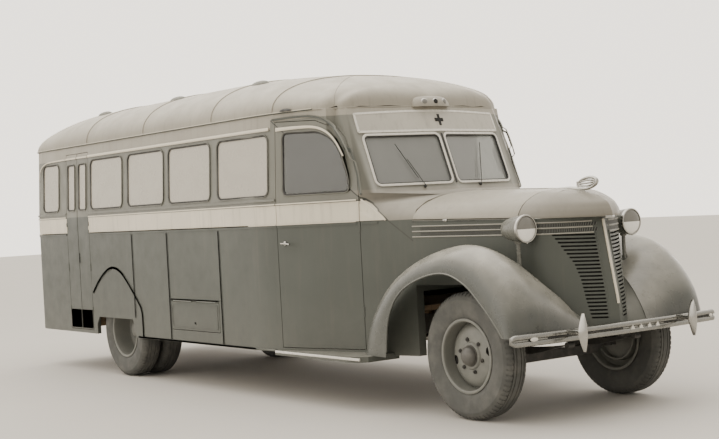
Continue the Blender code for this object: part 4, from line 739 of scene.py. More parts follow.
def half_at(plan, x):
    """Half width of a plan outline at x."""
    for a, b in zip(plan, plan[1:]):
        if a.x <= x <= b.x and b.x > a.x:
            return a.y + (b.y - a.y) * (x - a.x) / (b.x - a.x)
    return plan[-1].y


FRONT_DOME_RUN, REAR_DOME_RUN = 2.77, 1.20
DOME_POWER, SECTION_POWER = 2.5, 2.3


def crown(x, share, low, high):
    """Height of the roof at x, at a share of its half width."""
    u = min(max(1 - (high - x) / FRONT_DOME_RUN, 1 - (x - low) / REAR_DOME_RUN, 0.0), 1.0)
    rise = (CROWN_Z - DRIP_Z) * (1 - u ** DOME_POWER) ** (1 / DOME_POWER)
    return DRIP_Z + rise * (1 - min(share, 1.0) ** SECTION_POWER) ** (1 / SECTION_POWER)


def roof_surface():
    """A function that gives the roof's skin for a share along the edge and a share up to the ridge."""
    plan = drip_plan()
    last = len(plan) - 1
    low, high = plan[0].x, plan[-1].x
    halves = [half_at(plan, low + (high - low) * i / 400) for i in range(401)]

    def half(x):
        spot = (x - low) / (high - low) * 400
        i = min(max(int(spot), 0), 399)
        return halves[i] + (halves[i + 1] - halves[i]) * (spot - i)

    def place(along, up):
        spot = along * last
        i = min(int(spot), last - 1)
        edge = plan[i].lerp(plan[i + 1], spot - i)
        ridge = min(max(edge.x, low + 0.60 + 0.9 * along), high - 0.90 - 0.9 * (1 - along))
        turn = math.radians(90) * up
        share = math.cos(turn) ** (2 / SECTION_POWER)
        x = ridge + (edge.x - ridge) * share
        y = edge.y * share
        return Vector((x, y, crown(x, y / max(half(x), 1e-4), low, high)))

    return place


class TRUCK_OT_camera(bpy.types.Operator):
    """Set the camera at the photograph's angle"""
    bl_idname = "truck.camera"
    bl_label = "Camera"

    def execute(self, context):
        view = context.scene.truck_stage
        data = bpy.data.cameras.new("camera")
        data.lens = view.lens
        data.sensor_width = 36.0
        data.clip_end = 200.0
        obj = add_object("camera", data)
        look = Vector((-math.cos(view.yaw) * math.cos(view.pitch), math.sin(view.yaw) * math.cos(view.pitch),
                       math.sin(view.pitch)))
        right = look.cross(Vector((0, 0, 1))).normalized()
        up = right.cross(look)
        c, s = math.cos(view.roll), math.sin(view.roll)
        right, up = right * c + up * s, up * c - right * s
        turn = Matrix((right, up, -look)).transposed().to_4x4()
        obj.matrix_world = Matrix.Translation((fa(view.ahead), -view.aside, view.height)) @ turn
        context.scene.camera = obj
        return {"FINISHED"}


class TRUCK_OT_stage(bpy.types.Operator):
    """Lay the pale floor and hang the soft lights"""
    bl_idname = "truck.stage"
    bl_label = "Floor and lights"

    def execute(self, context):
        look = context.scene.truck_stage
        bm = bmesh.new()
        bmesh.ops.create_grid(bm, x_segments=4, y_segments=4, size=60.0)
        mesh = as_mesh("floor_stage", bm)
        mat, tree, shader, place = new_finish("studio_floor")
        cloud = noise(tree, place, 0.8, 5.0)
        connect(tree, shader, {"Base Color": mix_colours(tree, cloud, tuple(look.floor), dim(look.floor, 0.94)),
                               "Roughness": 0.85})
        mesh.materials.append(mat)
        floor = add_object("floor_stage", mesh)
        world = bpy.data.worlds.new("studio")
        world.use_nodes = True
        back = world.node_tree.nodes["Background"]
        back.inputs["Color"].default_value = (*look.sky, 1.0)
        # the light comes mostly from behind and from the near side
        toward = add_node(world.node_tree, "TexCoord")
        parts = add_node(world.node_tree, "SeparateXYZ", {"Vector": toward.outputs["Generated"]})
        connect(world.node_tree, back, {"Strength": ramp(world.node_tree, parts.outputs["X"], -0.35, 0.65, 2.7, 1.1)})
        context.scene.world = world
        # name, place, aim, width, depth, power
        lamps = (
            ("sky_light", (0.5, -1.0, 8.0), (0.0, 0.0, 1.0), 11.0, 8.0, 330.0),
            ("side_light", (1.0, -9.5, 4.5), (0.0, -1.0, 1.2), 9.0, 4.0, 20.0),
            ("front_light", (12.0, 2.5, 4.5), (3.0, 0.0, 1.2), 5.0, 4.0, 8.0),
        )
        for name, spot, aim, width, depth, power in lamps:
            data = bpy.data.lights.new(name, "AREA")
            data.shape = "RECTANGLE"
            data.size, data.size_y, data.energy = width, depth, power
            data.color = (1.0, 0.97, 0.92)
            lamp = add_object(name, data)
            lamp.location = spot
            lamp.rotation_euler = (Vector(aim) - Vector(spot)).to_track_quat("-Z", "Y").to_euler()
        return {"FINISHED"}


# finish, smoothing angle, record slot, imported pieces
KEPT_SHAPES = (
    ("walls", 30, "dark_paint", ("right_wall", "left_wall", "rear_wall")),
    ("cab", 38, "dark_paint", ("cab_shell",)),
    ("cab", 30, "dark_paint", ("right_cab_door", "left_cab_door")),
    ("ward_leaf", 30, "dark_paint", ("ward_door_rear", "ward_door_front")),
    ("walls", 30, "dark_paint", ("right_rear_door", "left_rear_door")),
    ("dark", 30, "dark_paint", ("locker_flap", "step_right", "step_left")),
    ("inside", 30, "light_paint", ("bulkhead",)),
    ("wood", 30, "floor_wood", ("floor",)),
    ("black", 30, "frame_black", ("dashboard",)),
    ("seal", 50, "frame_black", ("steering_wheel",)),
    ("black", 30, "frame_black", ("frame_rail_right", "frame_rail_left", "cross_member_rear", "cross_member_axle",
                                  "cross_member_middle", "cross_member_gearbox", "cross_member_front")),
    ("black", 40, "frame_black", ("drive_shaft", "rear_axle", "front_axle")),
    ("steel", 30, "frame_black", ("engine",)),
    ("steel", 45, "frame_black", ("exhaust",)),
    ("black", 40, "frame_black", ("fuel_tank", "knuckle_right", "knuckle_left")),
    ("black", 30, "frame_black", ("front_spring_right", "front_spring_left", "rear_spring_right", "rear_spring_left")),
    ("screen_glass", 30, "glass", ("windscreen_right", "windscreen_left")),
)


LONG_WALLS = ("right_wall", "left_wall", "cab_shell", "right_cab_door", "left_cab_door", "ward_door_rear",
              "ward_door_front")


def skin_normal(x, z, side):
    """The direction that the coachwork's side faces, as if its taper were one smooth curve."""
    share = min(max((x - fa(TAPER_START)) / (TAPER_FULL - TAPER_START), 0.0), 1.0)
    tilt = (1.0 - DRIP_SHARE) * BODY_HALF / (DRIP_Z - BELT_Z)
    rise = tilt * min(max((z - BELT_Z) / 0.02 + 0.5, 0.0), 1.0)
    return Vector((TAPER_SLOPE * share, side, rise)).normalized()


def even_skin(obj):
    """Shade the flat facets of a packed side wall as one smooth sheet."""
    mesh = obj.data
    normals = [(0.0, 0.0, 0.0)] * len(mesh.loops)
    for poly in mesh.polygons:
        middle = poly.center
        side = 1.0 if middle.y > 0 else -1.0
        away = abs(abs(middle.y) - side_half(middle.x) * lean(middle.z))
        if away < 0.02 and poly.normal.dot(skin_normal(middle.x, middle.z, side)) > 0.98:
            for index in poly.loop_indices:
                spot = mesh.vertices[mesh.loops[index].vertex_index].co
                normals[index] = skin_normal(spot.x, spot.z, side)
    mesh.normals_split_custom_set(normals)


class TRUCK_OT_panels(bpy.types.Operator):
    """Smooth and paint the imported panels, frame and fittings whose shape is right"""
    bl_idname = "truck.panels"
    bl_label = "Panels and frame"

    def execute(self, context):
        for finish, angle, slot, nodes in KEPT_SHAPES:
            for node in nodes:
                obj = piece(node + "_skin", merged(node), finish, angle, NODE_BODY[node], slot)
                if node in LONG_WALLS:
                    even_skin(obj)
                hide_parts(node)
        return {"FINISHED"}


class TRUCK_OT_roof(bpy.types.Operator):
    """Lay the domed roof sheet"""
    bl_idname = "truck.roof"
    bl_label = "Roof"

    def execute(self, context):
        bm = sheet(150, 26, roof_surface())
        bmesh.ops.mirror(bm, geom=everything(bm), axis="Y", merge_dist=0.0)
        weld(bm, 0.0002)
        face_away(bm, Vector((0, 0, 1.5)))
        obj = thicken(piece("roof_sheet", bm, "roof", 40), 0.045, 40)
        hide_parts("roof")
        return {"FINISHED"}


# front fender stations: crown x, crown z, opening edge x, opening edge z, inner edge |y|, drop of the inner edge
FENDER_STATIONS = (
    (-1.10, 0.4153, -0.76, 0.4153, 0.885, 0.0),
    (-1.00, 0.72, -0.71, 0.72, 0.850, 0.0),
    (-0.74, 1.02, -0.57, 0.92, 0.780, 0.03),
    (-0.40, 1.20, -0.32, 1.04, 0.675, 0.10),
    (0.00, 1.28, -0.03, 1.085, 0.555, 0.18),
    (0.30, 1.23, 0.20, 1.01, 0.460, 0.20),
    (0.52, 1.07, 0.36, 0.88, 0.400, 0.16),
    (0.66, 0.86, 0.48, 0.76, 0.350, 0.10),
    (0.69, 0.64, 0.58, 0.64, 0.330, 0.0),
)
FENDER_LIP_Y = 1.02
FENDER_CROWN_Y = 0.80
FENDER_FOOT_Z = 0.4353
APRON_DEPTH = 0.075


def fender_surface(along, across):
    """A point on the left front fender, from its tail round to the prow and from the bonnet out to the lip."""
    cx, cz, lx, lz, inner, drop = through([Vector(s) for s in FENDER_STATIONS], along)
    crown_y = max(FENDER_CROWN_Y, inner + 0.06)
    side = FENDER_LIP_Y - crown_y
    section = ((inner, 0.0, drop), ((inner + crown_y) / 2, 0.0, drop * 0.35), (crown_y, 0.0, 0.0),
               (crown_y + 0.55 * side, 0.12, 0.0), (crown_y + 0.86 * side, 0.38, 0.0),
               (crown_y + 0.98 * side, 0.68, 0.0), (FENDER_LIP_Y, 1.0, 0.0))
    y, share, down = through([Vector(s) for s in section], across)
    reach = math.hypot(cx, cz - TYRE_RADIUS)
    return Vector((fa(cx + (lx - cx) * share - cx / reach * down * 0.5), y, cz + (lz - cz) * share - down))


def fender_height(x, y):
    """Height of the fender's skin over a place, found from its own grid."""
    return min((fender_surface(i / 120, k / 60) for i in range(50, 110) for k in range(0, 34)),
               key=lambda p: (p.x - x) ** 2 + (p.y - y) ** 2).z


class TRUCK_OT_fenders(bpy.types.Operator):
    """Shape the crowned front fenders with their rolled lips"""
    bl_idname = "truck.fenders"
    bl_label = "Front fenders"

    def execute(self, context):
        hub = Vector((fa(0), 0.6, TYRE_RADIUS))
        for side, word in SIDES:
            bm = sheet(96, 30, fender_surface)
            face_away(bm, hub)
            keep_side(bm, (0, 0, FENDER_FOOT_Z), (0, 0, -1))
            obj = thicken(piece("fender_sheet_" + word, on_side(bm, side), "fender", 50), SHEET, 50)
            lip = [fender_surface(i / 60, 1.0) for i in range(61)]
            lip = [Vector((p.x, side * (p.y - 0.004), p.z)) for p in lip if p.z > FENDER_FOOT_Z + 0.008]
            piece("fender_bead_" + word, rope_mesh(lip, 0.0075), "fender", 60)
            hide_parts("front_fender_" + word)
            # apron that closes the gap between the fender's front and the nose
            bm = sheet(6, 24, self.apron)
            face_away(bm, hub)
            thicken(piece("fender_apron_" + word, on_side(bm, side), "dark", 50), 0.004, 50)
        return {"FINISHED"}

    @staticmethod
    def apron(along, across):
        """A point of the left apron, from the fender's edge in to the nose."""
        edge = fender_surface(0.68 + 0.32 * along, 0.0)
        nose = min((bonnet_point((edge.z, 0.0, prow_at(edge.z), 1.0), k / 60) for k in range(61)),
                   key=lambda p: abs(p.x - edge.x + APRON_DEPTH))
        y = edge.y + 0.004 - (edge.y - nose.y + 0.02) * across
        return Vector((edge.x - 0.004 - APRON_DEPTH * across, y, edge.z - 0.003))


# bonnet and nose rows: height at the rear, fall forward per metre, prow x, share of the half width
BONNET_FALL = 0.035
EDGE_FALL = 0.026
LOWER_ROWS = ((0.61, 0.0, 0.733, 1.0), (0.84, 0.0, 0.713, 1.0), (1.15, 0.0, 0.655, 1.0), (1.44, 0.020, 0.603, 1.0),
              (1.465, EDGE_FALL, 0.60, 1.0))
UPPER_ROWS = ((1.475, EDGE_FALL, 0.70, 1.0), (1.505, BONNET_FALL, 0.705, 0.985), (1.55, BONNET_FALL, 0.69, 0.93),
              (1.60, BONNET_FALL, 0.65, 0.82), (1.65, BONNET_FALL, 0.54, 0.61), (1.675, BONNET_FALL, 0.40, 0.40),
              (1.69, BONNET_FALL, 0.28, 0.0))
BONNET_EDGE_Z = 1.483
BONNET_SEAM = 0.20
COWL = -0.70
STRIP_HALF = 0.010
SHUT = 0.006
SHEET = 0.006
SWEPT_X, SWEPT_Z = 0.36, 0.97


def bonnet_point(row, along):
    """A point of the bonnet or nose for its row's values, from the cowl round to the prow."""
    z, fall, prow, share = row
    controls = []
    for x in (-0.72, -0.45, -0.20, 0.02, 0.20, 0.34):
        px = min(x, prow - 0.02 * (1 + x))
        controls.append(Vector((fa(px), side_half(fa(x)) * share, z - fall * (px - COWL))))
    shoulder = side_half(fa(0.34))
    for turn in (0.80, 0.52, 0.25, 0.0):
        px = 0.34 + (prow - 0.34) * (1 - turn) ** 0.75 if prow > 0.36 else prow
        controls.append(Vector((fa(px), shoulder * turn ** 0.8 * share, z - fall * (px - COWL))))
    point = through(controls, along)
    point.y = max(point.y, 0.0)
    if along >= 1.0:
        point.y = 0.0
    return point


def half_bonnet(rows, across, along):
    """The left half of a stretch of bonnet or nose as an open sheet."""
    rows = [Vector(r) for r in rows]
    return sheet(across, along, lambda u, v: bonnet_point(through(rows, v), u))


class TRUCK_OT_bonnet(bpy.types.Operator):
    """Shape the bonnet leaves and the grille shell"""
    bl_idname = "truck.bonnet"
    bl_label = "Bonnet and nose"

    def execute(self, context):
        seam = fa(BONNET_SEAM)
        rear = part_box("nose")[0].x
        middle = Vector((fa(-0.1), 0.0, 1.2))
        for side, word in SIDES:
            bm = half_bonnet(UPPER_ROWS, 72, 40)
            keep_side(bm, (seam, 0, 0), (1, 0, 0))
            keep_side(bm, (fa(COWL) + 0.005, 0, 0), (-1, 0, 0))
            keep_side(bm, (0, STRIP_HALF + SHUT, 0), (0, -1, 0))
            keep_side(bm, (fa(COWL), 0, BONNET_EDGE_Z), (-EDGE_FALL, 0, -1))
            face_away(bm, middle)
            leaf = "hood_leaf_" + word
            obj = piece("bonnet_sheet_" + word, on_side(bm, side), "light", 50, NODE_BODY[leaf])
            obj = thicken(obj, SHEET, 50)
            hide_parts("hood_leaf_" + word)
        parts = []
        cowl = ((rear, 0, 0), (-1, 0, 0))
        ahead, behind = (((seam + SHUT, 0, 0), (turn, 0, 0)) for turn in (-1, 1))
        for rows, along, planes in (
            (LOWER_ROWS, 48, (cowl,)),
            ((LOWER_ROWS[-1], UPPER_ROWS[0]), 2, (cowl,)),
            (UPPER_ROWS, 48, (ahead,)),
            (UPPER_ROWS, 48, (behind, cowl, ((fa(COWL), 0, BONNET_EDGE_Z - SHUT), (EDGE_FALL, 0, 1)))),
            (UPPER_ROWS, 96, (behind, cowl, ((0, STRIP_HALF, 0), (0, 1, 0)))),
        ):
            bm = half_bonnet(rows, 96, along)
            for plane in planes:
                keep_side(bm, *plane)
            parts.append(bm)
        bm = gather(parts)
        weld(bm, 0.0002)
        # the steered wheels swing through where the sides would reach down
        keep_side(bm, (fa(SWEPT_X), 0, 0), (1, 0, 0), False)
        keep_side(bm, (0, 0, SWEPT_Z), (0, 0, 1), False)
        middles = {face: face.calc_center_median() for face in bm.faces}
        swept = [face for face, spot in middles.items() if spot.x < fa(SWEPT_X) and spot.z < SWEPT_Z]
        bmesh.ops.delete(bm, geom=swept, context="FACES")
        bmesh.ops.mirror(bm, geom=everything(bm), axis="Y", merge_dist=0.0)
        weld(bm, 0.0002)
        face_away(bm, middle)
        obj = thicken(piece("nose_sheet", bm, "bonnet_paint", 40), SHEET, 40)
        # the slots' cut faces are near-black, painted shade inside them
        bored(obj, slot_cutters(), "black_and_shade", 40)
        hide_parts("nose")
        return {"FINISHED"}


TREAD_STEPS = 216
TYRE_HALF = 0.105
TREAD_FALL = 0.010


def tyre_profile(y):
    """A tyre's section as (radius, y): beads, walls, and a tread with four grooves."""
    wall = [(0.2625, 0.078), (0.283, 0.084), (0.288, 0.088), (0.305, 0.0955), (0.33, 0.101), (0.36, 0.1045),
            (0.385, TYRE_HALF), (0.412, 0.1035), (0.4155, 0.1065 - 0.0025), (0.420, 0.1015), (0.440, 0.093),
            (0.453, 0.083)]
    tread = []
    for a, b in ((0.070, 0.052), (0.044, 0.026), (0.018, -0.018), (-0.026, -0.044), (-0.052, -0.070)):
        tread += [(TYRE_RADIUS - TREAD_FALL * (edge / 0.075) ** 2 * 0.5, edge) for edge in (a, b)]
    grooved = []
    for i, (r, a) in enumerate(tread):
        if i and i % 2 == 0:
            previous = tread[i - 1]
            grooved += [(previous[0] - 0.008, previous[1] - 0.0012), (r - 0.008, a + 0.0012)]
        grooved.append((r, a))
    other = [(r, -a) for r, a in reversed(wall)]
    return [(r, y + a) for r, a in wall + grooved + other]


def tyre(y, centre, side):
    """A tyre whose shoulders are cut across by sipes."""
    bm = turned(tyre_profile(y), TREAD_STEPS, centre, side)
    cut = []
    for face in bm.faces:
        spot = face.calc_center_median() - Vector(centre)
        radius = math.hypot(spot.x, spot.z)
        across = abs(abs(spot.y) - y)
        turn = int(round(math.degrees(math.atan2(spot.z, spot.x)) / (360 / TREAD_STEPS) - 0.5)) % TREAD_STEPS
        if radius > 0.440 and 0.052 < across < 0.0885 and turn % 3 == 0:
            cut.append(face)
    made = bmesh.ops.extrude_face_region(bm, geom=cut)
    moved = [v for v in made["geom"] if isinstance(v, bmesh.types.BMVert)]
    bmesh.ops.delete(bm, geom=cut, context="FACES_ONLY")
    for vert in moved:
        inward = Vector(centre) - vert.co
        inward.y = 0.0
        vert.co += inward.normalized() * 0.006
    return bm


class TRUCK_OT_tyres(bpy.types.Operator):
    """Mould the treaded tyres"""
    bl_idname = "truck.tyres"
    bl_label = "Tyres"

    def execute(self, context):
        for node in sorted(n for n in frame["nodes"] if "tyre" in n):
            low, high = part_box(node)
            centre = (low + high) / 2
            side = 1.0 if centre.y > 0 else -1.0
            bm = tyre(abs(centre.y), (centre.x, 0.0, centre.z), side)
            obj = piece(node + "_tread", bm, "rubber", 40, NODE_BODY[node])
            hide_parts(node)
        return {"FINISHED"}


def window_outline(x0, x1, z0, z1, radius=0.06, steps=8):
    """A rectangle with round corners as (x, z) points."""
    points = []
    for cx, cz, start in ((x1 - radius, z1 - radius, 0), (x0 + radius, z1 - radius, 90),
                          (x0 + radius, z0 + radius, 180), (x1 - radius, z0 + radius, 270)):
        for step in range(steps + 1):
            angle = math.radians(start + 90 * step / steps)
            points.append((cx + radius * math.cos(angle), cz + radius * math.sin(angle)))
    return points


# side windows from the front axle: rear edge, front edge
SIDE_WINDOWS = ((-5.62, -4.885), (-4.745, -3.995), (-3.88, -3.10), (-2.955, -2.15), (-6.86, -6.45))
WINDOW_BOTTOM, WINDOW_TOP = 1.736, 2.25


def glaze(name, place, rim, finish, body, seat):
    """A thin pane and its rubber, round a rim of points that place puts at a depth behind the skin."""
    sheet = ring_mesh([[place(a, b, depth) for a, b in rim] for depth in (0.010, 0.015)])
    piece("pane_" + name, sheet, finish, 30, body, slot="glass")
    seal = rope_mesh([place(a, b, seat) for a, b in rim], 0.0075, 8, True)
    piece("pane_seal_" + name, seal, "seal", 60, body)


# wheel sections as (radius, offset along the axle): the disc's face, then the barrel, then the back
FRONT_DISC = ((0.0, 0.040), (0.078, 0.040), (0.080, 0.050), (0.094, 0.049), (0.100, 0.044), (0.104, 0.037),
              (0.150, 0.033), (0.190, 0.027), (0.214, 0.017), (0.232, 0.003), (0.240, -0.013),
              (0.2425, -0.022), (0.247, -0.022), (0.2505, -0.010), (0.252, 0.060))
OUTER_FLANGE = ((0.252, 0.080), (0.2545, 0.088), (0.260, 0.0925), (0.268, 0.0935), (0.275, 0.0915), (0.278, 0.0875),
                (0.2765, 0.0835), (0.270, 0.0815), (0.264, 0.0805), (0.262, 0.074))
INNER_FLANGE = ((0.262, -0.074), (0.264, -0.0805), (0.272, -0.0825), (0.278, -0.0865), (0.277, -0.0905),
                (0.268, -0.0925), (0.258, -0.0905), (0.252, -0.082), (0.249, -0.060))
FRONT_BACK = ((0.246, -0.034), (0.236, -0.026), (0.206, -0.008), (0.198, -0.066), (0.193, -0.0700), (0.184, -0.0700),
              (0.180, -0.066), (0.180, -0.031), (0.060, -0.030), (0.047, -0.040), (0.045, -0.070), (0.0262, -0.070),
              (0.0262, 0.0303), (0.0, 0.0303))
REAR_DISC = ((0.0, 0.1125), (0.030, 0.112), (0.060, 0.108), (0.072, 0.100), (0.077, 0.080), (0.084, 0.034),
             (0.092, 0.026), (0.125, 0.020), (0.170, 0.0135), (0.205, 0.0135), (0.226, 0.022), (0.240, 0.036),
             (0.2455, 0.030), (0.2505, 0.040), (0.252, 0.140))
REAR_BACK = ((0.249, -0.050), (0.240, -0.036), (0.222, -0.020), (0.198, -0.012), (0.190, -0.020), (0.190, -0.138),
             (0.187, -0.1425), (0.180, -0.1425), (0.176, -0.136), (0.175, -0.020), (0.082, -0.020), (0.078, -0.030),
             (0.075, -0.1225), (0.0508, -0.1225), (0.0508, 0.0278), (0.0, 0.0278))
NUT_CIRCLE = 0.122
HAND_HOLE = (0.196, 0.036)


def on_disc(x, y, radius, degrees):
    """A point at a radius from the axle, on the face of a wheel's disc."""
    turn = math.radians(degrees)
    return Vector((x + radius * math.cos(turn), y, TYRE_RADIUS + radius * math.sin(turn)))


class TRUCK_OT_wheels(bpy.types.Operator):
    """Spin the disc wheels, bore their hand holes and set their nuts and hub caps"""
    bl_idname = "truck.wheels"
    bl_label = "Wheels"

    def execute(self, context):
        front_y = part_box("front_tyre_left")[0].y + TYRE_HALF
        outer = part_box("rear_tyre_left_outer")[0].y + TYRE_HALF
        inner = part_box("rear_tyre_left_inner")[0].y + TYRE_HALF
        middle = (outer + inner) / 2
        for side, word in SIDES:
            front = [(r, front_y + a) for r, a in FRONT_DISC + OUTER_FLANGE + INNER_FLANGE + FRONT_BACK]
            rear = ([(r, middle + a) for r, a in REAR_DISC] + [(r, outer + a) for r, a in OUTER_FLANGE] +
                    [(r, inner + a) for r, a in INNER_FLANGE] + [(r, middle + a) for r, a in REAR_BACK])
            for node, profile, x, face, first in (
                ("front_wheel_" + word, front, fa(0), front_y + 0.034, 12.5),
                ("rear_wheels_" + word, rear, REAR_AXLE.x, middle + 0.018, 57.0),
            ):
                body = NODE_BODY[node]
                obj = piece(node + "_disc", turned(profile, 72, (x, 0, TYRE_RADIUS), side), "wheel", 32, body)
                holes = []
                for turn in (first, first + 180.0):
                    spot = on_disc(x, side * face, HAND_HOLE[0], turn)
                    holes.append(bar(spot - Vector((0, side * 0.040, 0)), spot + Vector((0, side * 0.05, 0)),
                                     HAND_HOLE[1], 28))
                # the hand holes' cut faces are near-black, painted shade inside the holes
                bored(obj, gather(holes), "black_and_shade", 32)
                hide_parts(node)
                nuts = []
                for i in range(6):
                    spot = on_disc(x, side * face, NUT_CIRCLE, 106 + 60 * i)
                    out = Vector((0, side, 0))
                    nuts += [bar(spot - out * 0.003, spot + out * 0.013, 0.0155, 6),
                             bar(spot + out * 0.012, spot + out * 0.021, 0.0075, 10)]
                piece(node + "_nuts", gather(nuts), "black", 30, body)
            cap = ((0.0, 0.105), (0.018, 0.1043), (0.036, 0.1010), (0.052, 0.0945), (0.064, 0.0850), (0.0715, 0.0735),
                   (0.0745, 0.062), (0.0755, 0.056), (0.0775, 0.0555), (0.0785, 0.052), (0.0785, 0.0400),
                   (0.0, 0.0400))
            bm = turned([(r, front_y + a) for r, a in cap], 48, (fa(0), 0, TYRE_RADIUS), side)
            piece("hub_cap_" + word, bm, "cap", 40, NODE_BODY["front_wheel_" + word])
        return {"FINISHED"}


BUMPER_FACE = 0.79
BUMPER_BOW = 0.057
BUMPER_SECTION = ((-0.045, 0.592), (-0.020, 0.5865), (-0.008, 0.5862), (-0.002, 0.5900), (0.0, 0.597), (0.0, 0.6145),
                  (-0.0025, 0.6190), (-0.0110, 0.6225), (-0.0135, 0.6255), (-0.0135, 0.6325), (-0.0110, 0.6355),
                  (-0.0025, 0.6390), (0.0, 0.6435), (0.0, 0.6560), (-0.003, 0.6640), (-0.0105, 0.6705),
                  (-0.020, 0.6722), (-0.045, 0.665))
OVERRIDER_Y = 0.571


def bumper_face(y):
    return fa(BUMPER_FACE - BUMPER_BOW * (y / 1.055) ** 2)


class TRUCK_OT_bumper(bpy.types.Operator):
    """Draw the grooved bumper bar, its pointed overriders, brackets and bolts"""
    bl_idname = "truck.bumper"
    bl_label = "Bumper"

    def execute(self, context):
        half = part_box("bumper")[1].y
        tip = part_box("bumper")[1].x
        rings = []
        for i in range(81):
            y = half * math.sin(math.radians(90) * (i - 40) / 40)
            end = max(0.0, (abs(y) - half + 0.030) / 0.030)
            shrink = 1.0 - 0.42 * end ** 2.2
            tuck = 0.012 * end ** 2
            rings.append([(bumper_face(y) + dx - (tuck if dx > -0.04 else 0.0), y, 0.629 + (z - 0.629) * shrink)
                          for dx, z in BUMPER_SECTION])
        obj = piece("bumper_bar", ring_mesh(rings), "bumper_metal", 40)
        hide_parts("bumper")
        low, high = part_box("bumper")[0].z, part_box("bumper")[1].z
        back = bumper_face(OVERRIDER_Y) - 0.010
        horns = []
        for side in (-1, 1):
            rings = []
            for i in range(29):
                lift = -1.0 + 2.0 * i / 28
                swell = max(0.06, (1 - abs(lift) ** 1.35) ** 0.92)
                rear = tip - 0.058 + 0.014 * abs(lift)
                front = tip - 0.0005 - 0.020 * lift * lift
                wide = 0.033 * swell ** 0.9
                y = side * OVERRIDER_Y
                z = (low + high) / 2 + lift * (high - low) / 2
                ring = [(rear, y - wide, z)]
                for k in range(-6, 7):
                    turn = k / 6
                    ring.append((rear + 0.006 + (front - rear - 0.006) * (1 - abs(turn) ** 1.9), y + wide * turn, z))
                ring.append((rear, y + wide, z))
                rings.append(ring)
            horns.append(ring_mesh(rings))
            middle = (low + high) / 2
            horns.append(bar((back, side * OVERRIDER_Y, middle), (tip - 0.050, side * OVERRIDER_Y, middle), 0.020, 20))
        piece("overriders", gather(horns), "chrome", 50)
        # near-black strips in the groove, left and right of a plain centre plate: painted shade in the groove
        for word, y0, y1 in (("near", -0.75, -0.03), ("far", 0.42, 0.956)):
            path = [(y0 + (y1 - y0) * i / 16) for i in range(17)]
            rings = [[(bumper_face(y) - 0.0140, y, 0.6245), (bumper_face(y) - 0.0118, y, 0.6245),
                      (bumper_face(y) - 0.0118, y, 0.6335), (bumper_face(y) - 0.0140, y, 0.6335)] for y in path]
            piece("bumper_groove_shade_" + word, ring_mesh(rings), "seal", 30, slot="")
        studs = []
        for y in (-0.879, 0.985):
            spot = Vector((bumper_face(y) - 0.001, y, 0.631))
            stud = dome(spot, Vector((1, 0.108 * y, 0)).normalized(), 0.014, 0.007, 24)
            vec = (1.0, 2.6 if y < 0 else 1.2, 1.0)
            bmesh.ops.scale(stud, vec=vec, space=Matrix.Translation(-spot), verts=stud.verts)
            studs.append(stud)
        piece("bumper_bolts", gather(studs), "bright", 50, slot="chrome")
        marks = []
        for i in range(4):
            y = 0.060 + 0.091 * i
            face = bumper_face(y) + 0.0008
            corners = ((y - 0.021, 0.6130), (y + 0.021, 0.6130), (y, 0.6460))
            marks.append(ring_mesh([[(face + depth, a, b) for a, b in corners] for depth in (-0.016, 0.0015 - 0.001)]))
        piece("bumper_marks", gather(marks), "bright", 30, slot="")
        arms = []
        for side in (-1, 1):
            a, b = sorted((side * 0.365, side * 0.330))
            arms.append(block((fa(0.50), a, 0.588), (fa(0.75), b, 0.630), 0.003))
            arms += [dome((fa(x), side * 0.366, 0.609), (0, side, 0), 0.012, 0.008, 6, 2) for x in (0.56, 0.62)]
        piece("bumper_arms", gather(arms), "black", 30)
        return {"FINISHED"}


HEADLAMP = (0.379, 0.553, 1.378)
LAMP_SHELL = ((0.0, -0.235), (0.016, -0.2342), (0.032, -0.2305), (0.048, -0.2215), (0.062, -0.2050), (0.074, -0.1800),
              (0.083, -0.1500), (0.0895, -0.1180), (0.0945, -0.0850), (0.098, -0.0520), (0.0997, -0.0200),
              (0.0990, -0.012), (0.0, -0.012))
LAMP_BEZEL = ((0.0985, -0.018), (0.1015, -0.0195), (0.1035, -0.0175), (0.104, -0.0130), (0.104, -0.0030),
              (0.1030, 0.0030), (0.1000, 0.0068), (0.0960, 0.0078), (0.0925, 0.0060), (0.0915, 0.0020),
              (0.0935, -0.0100))


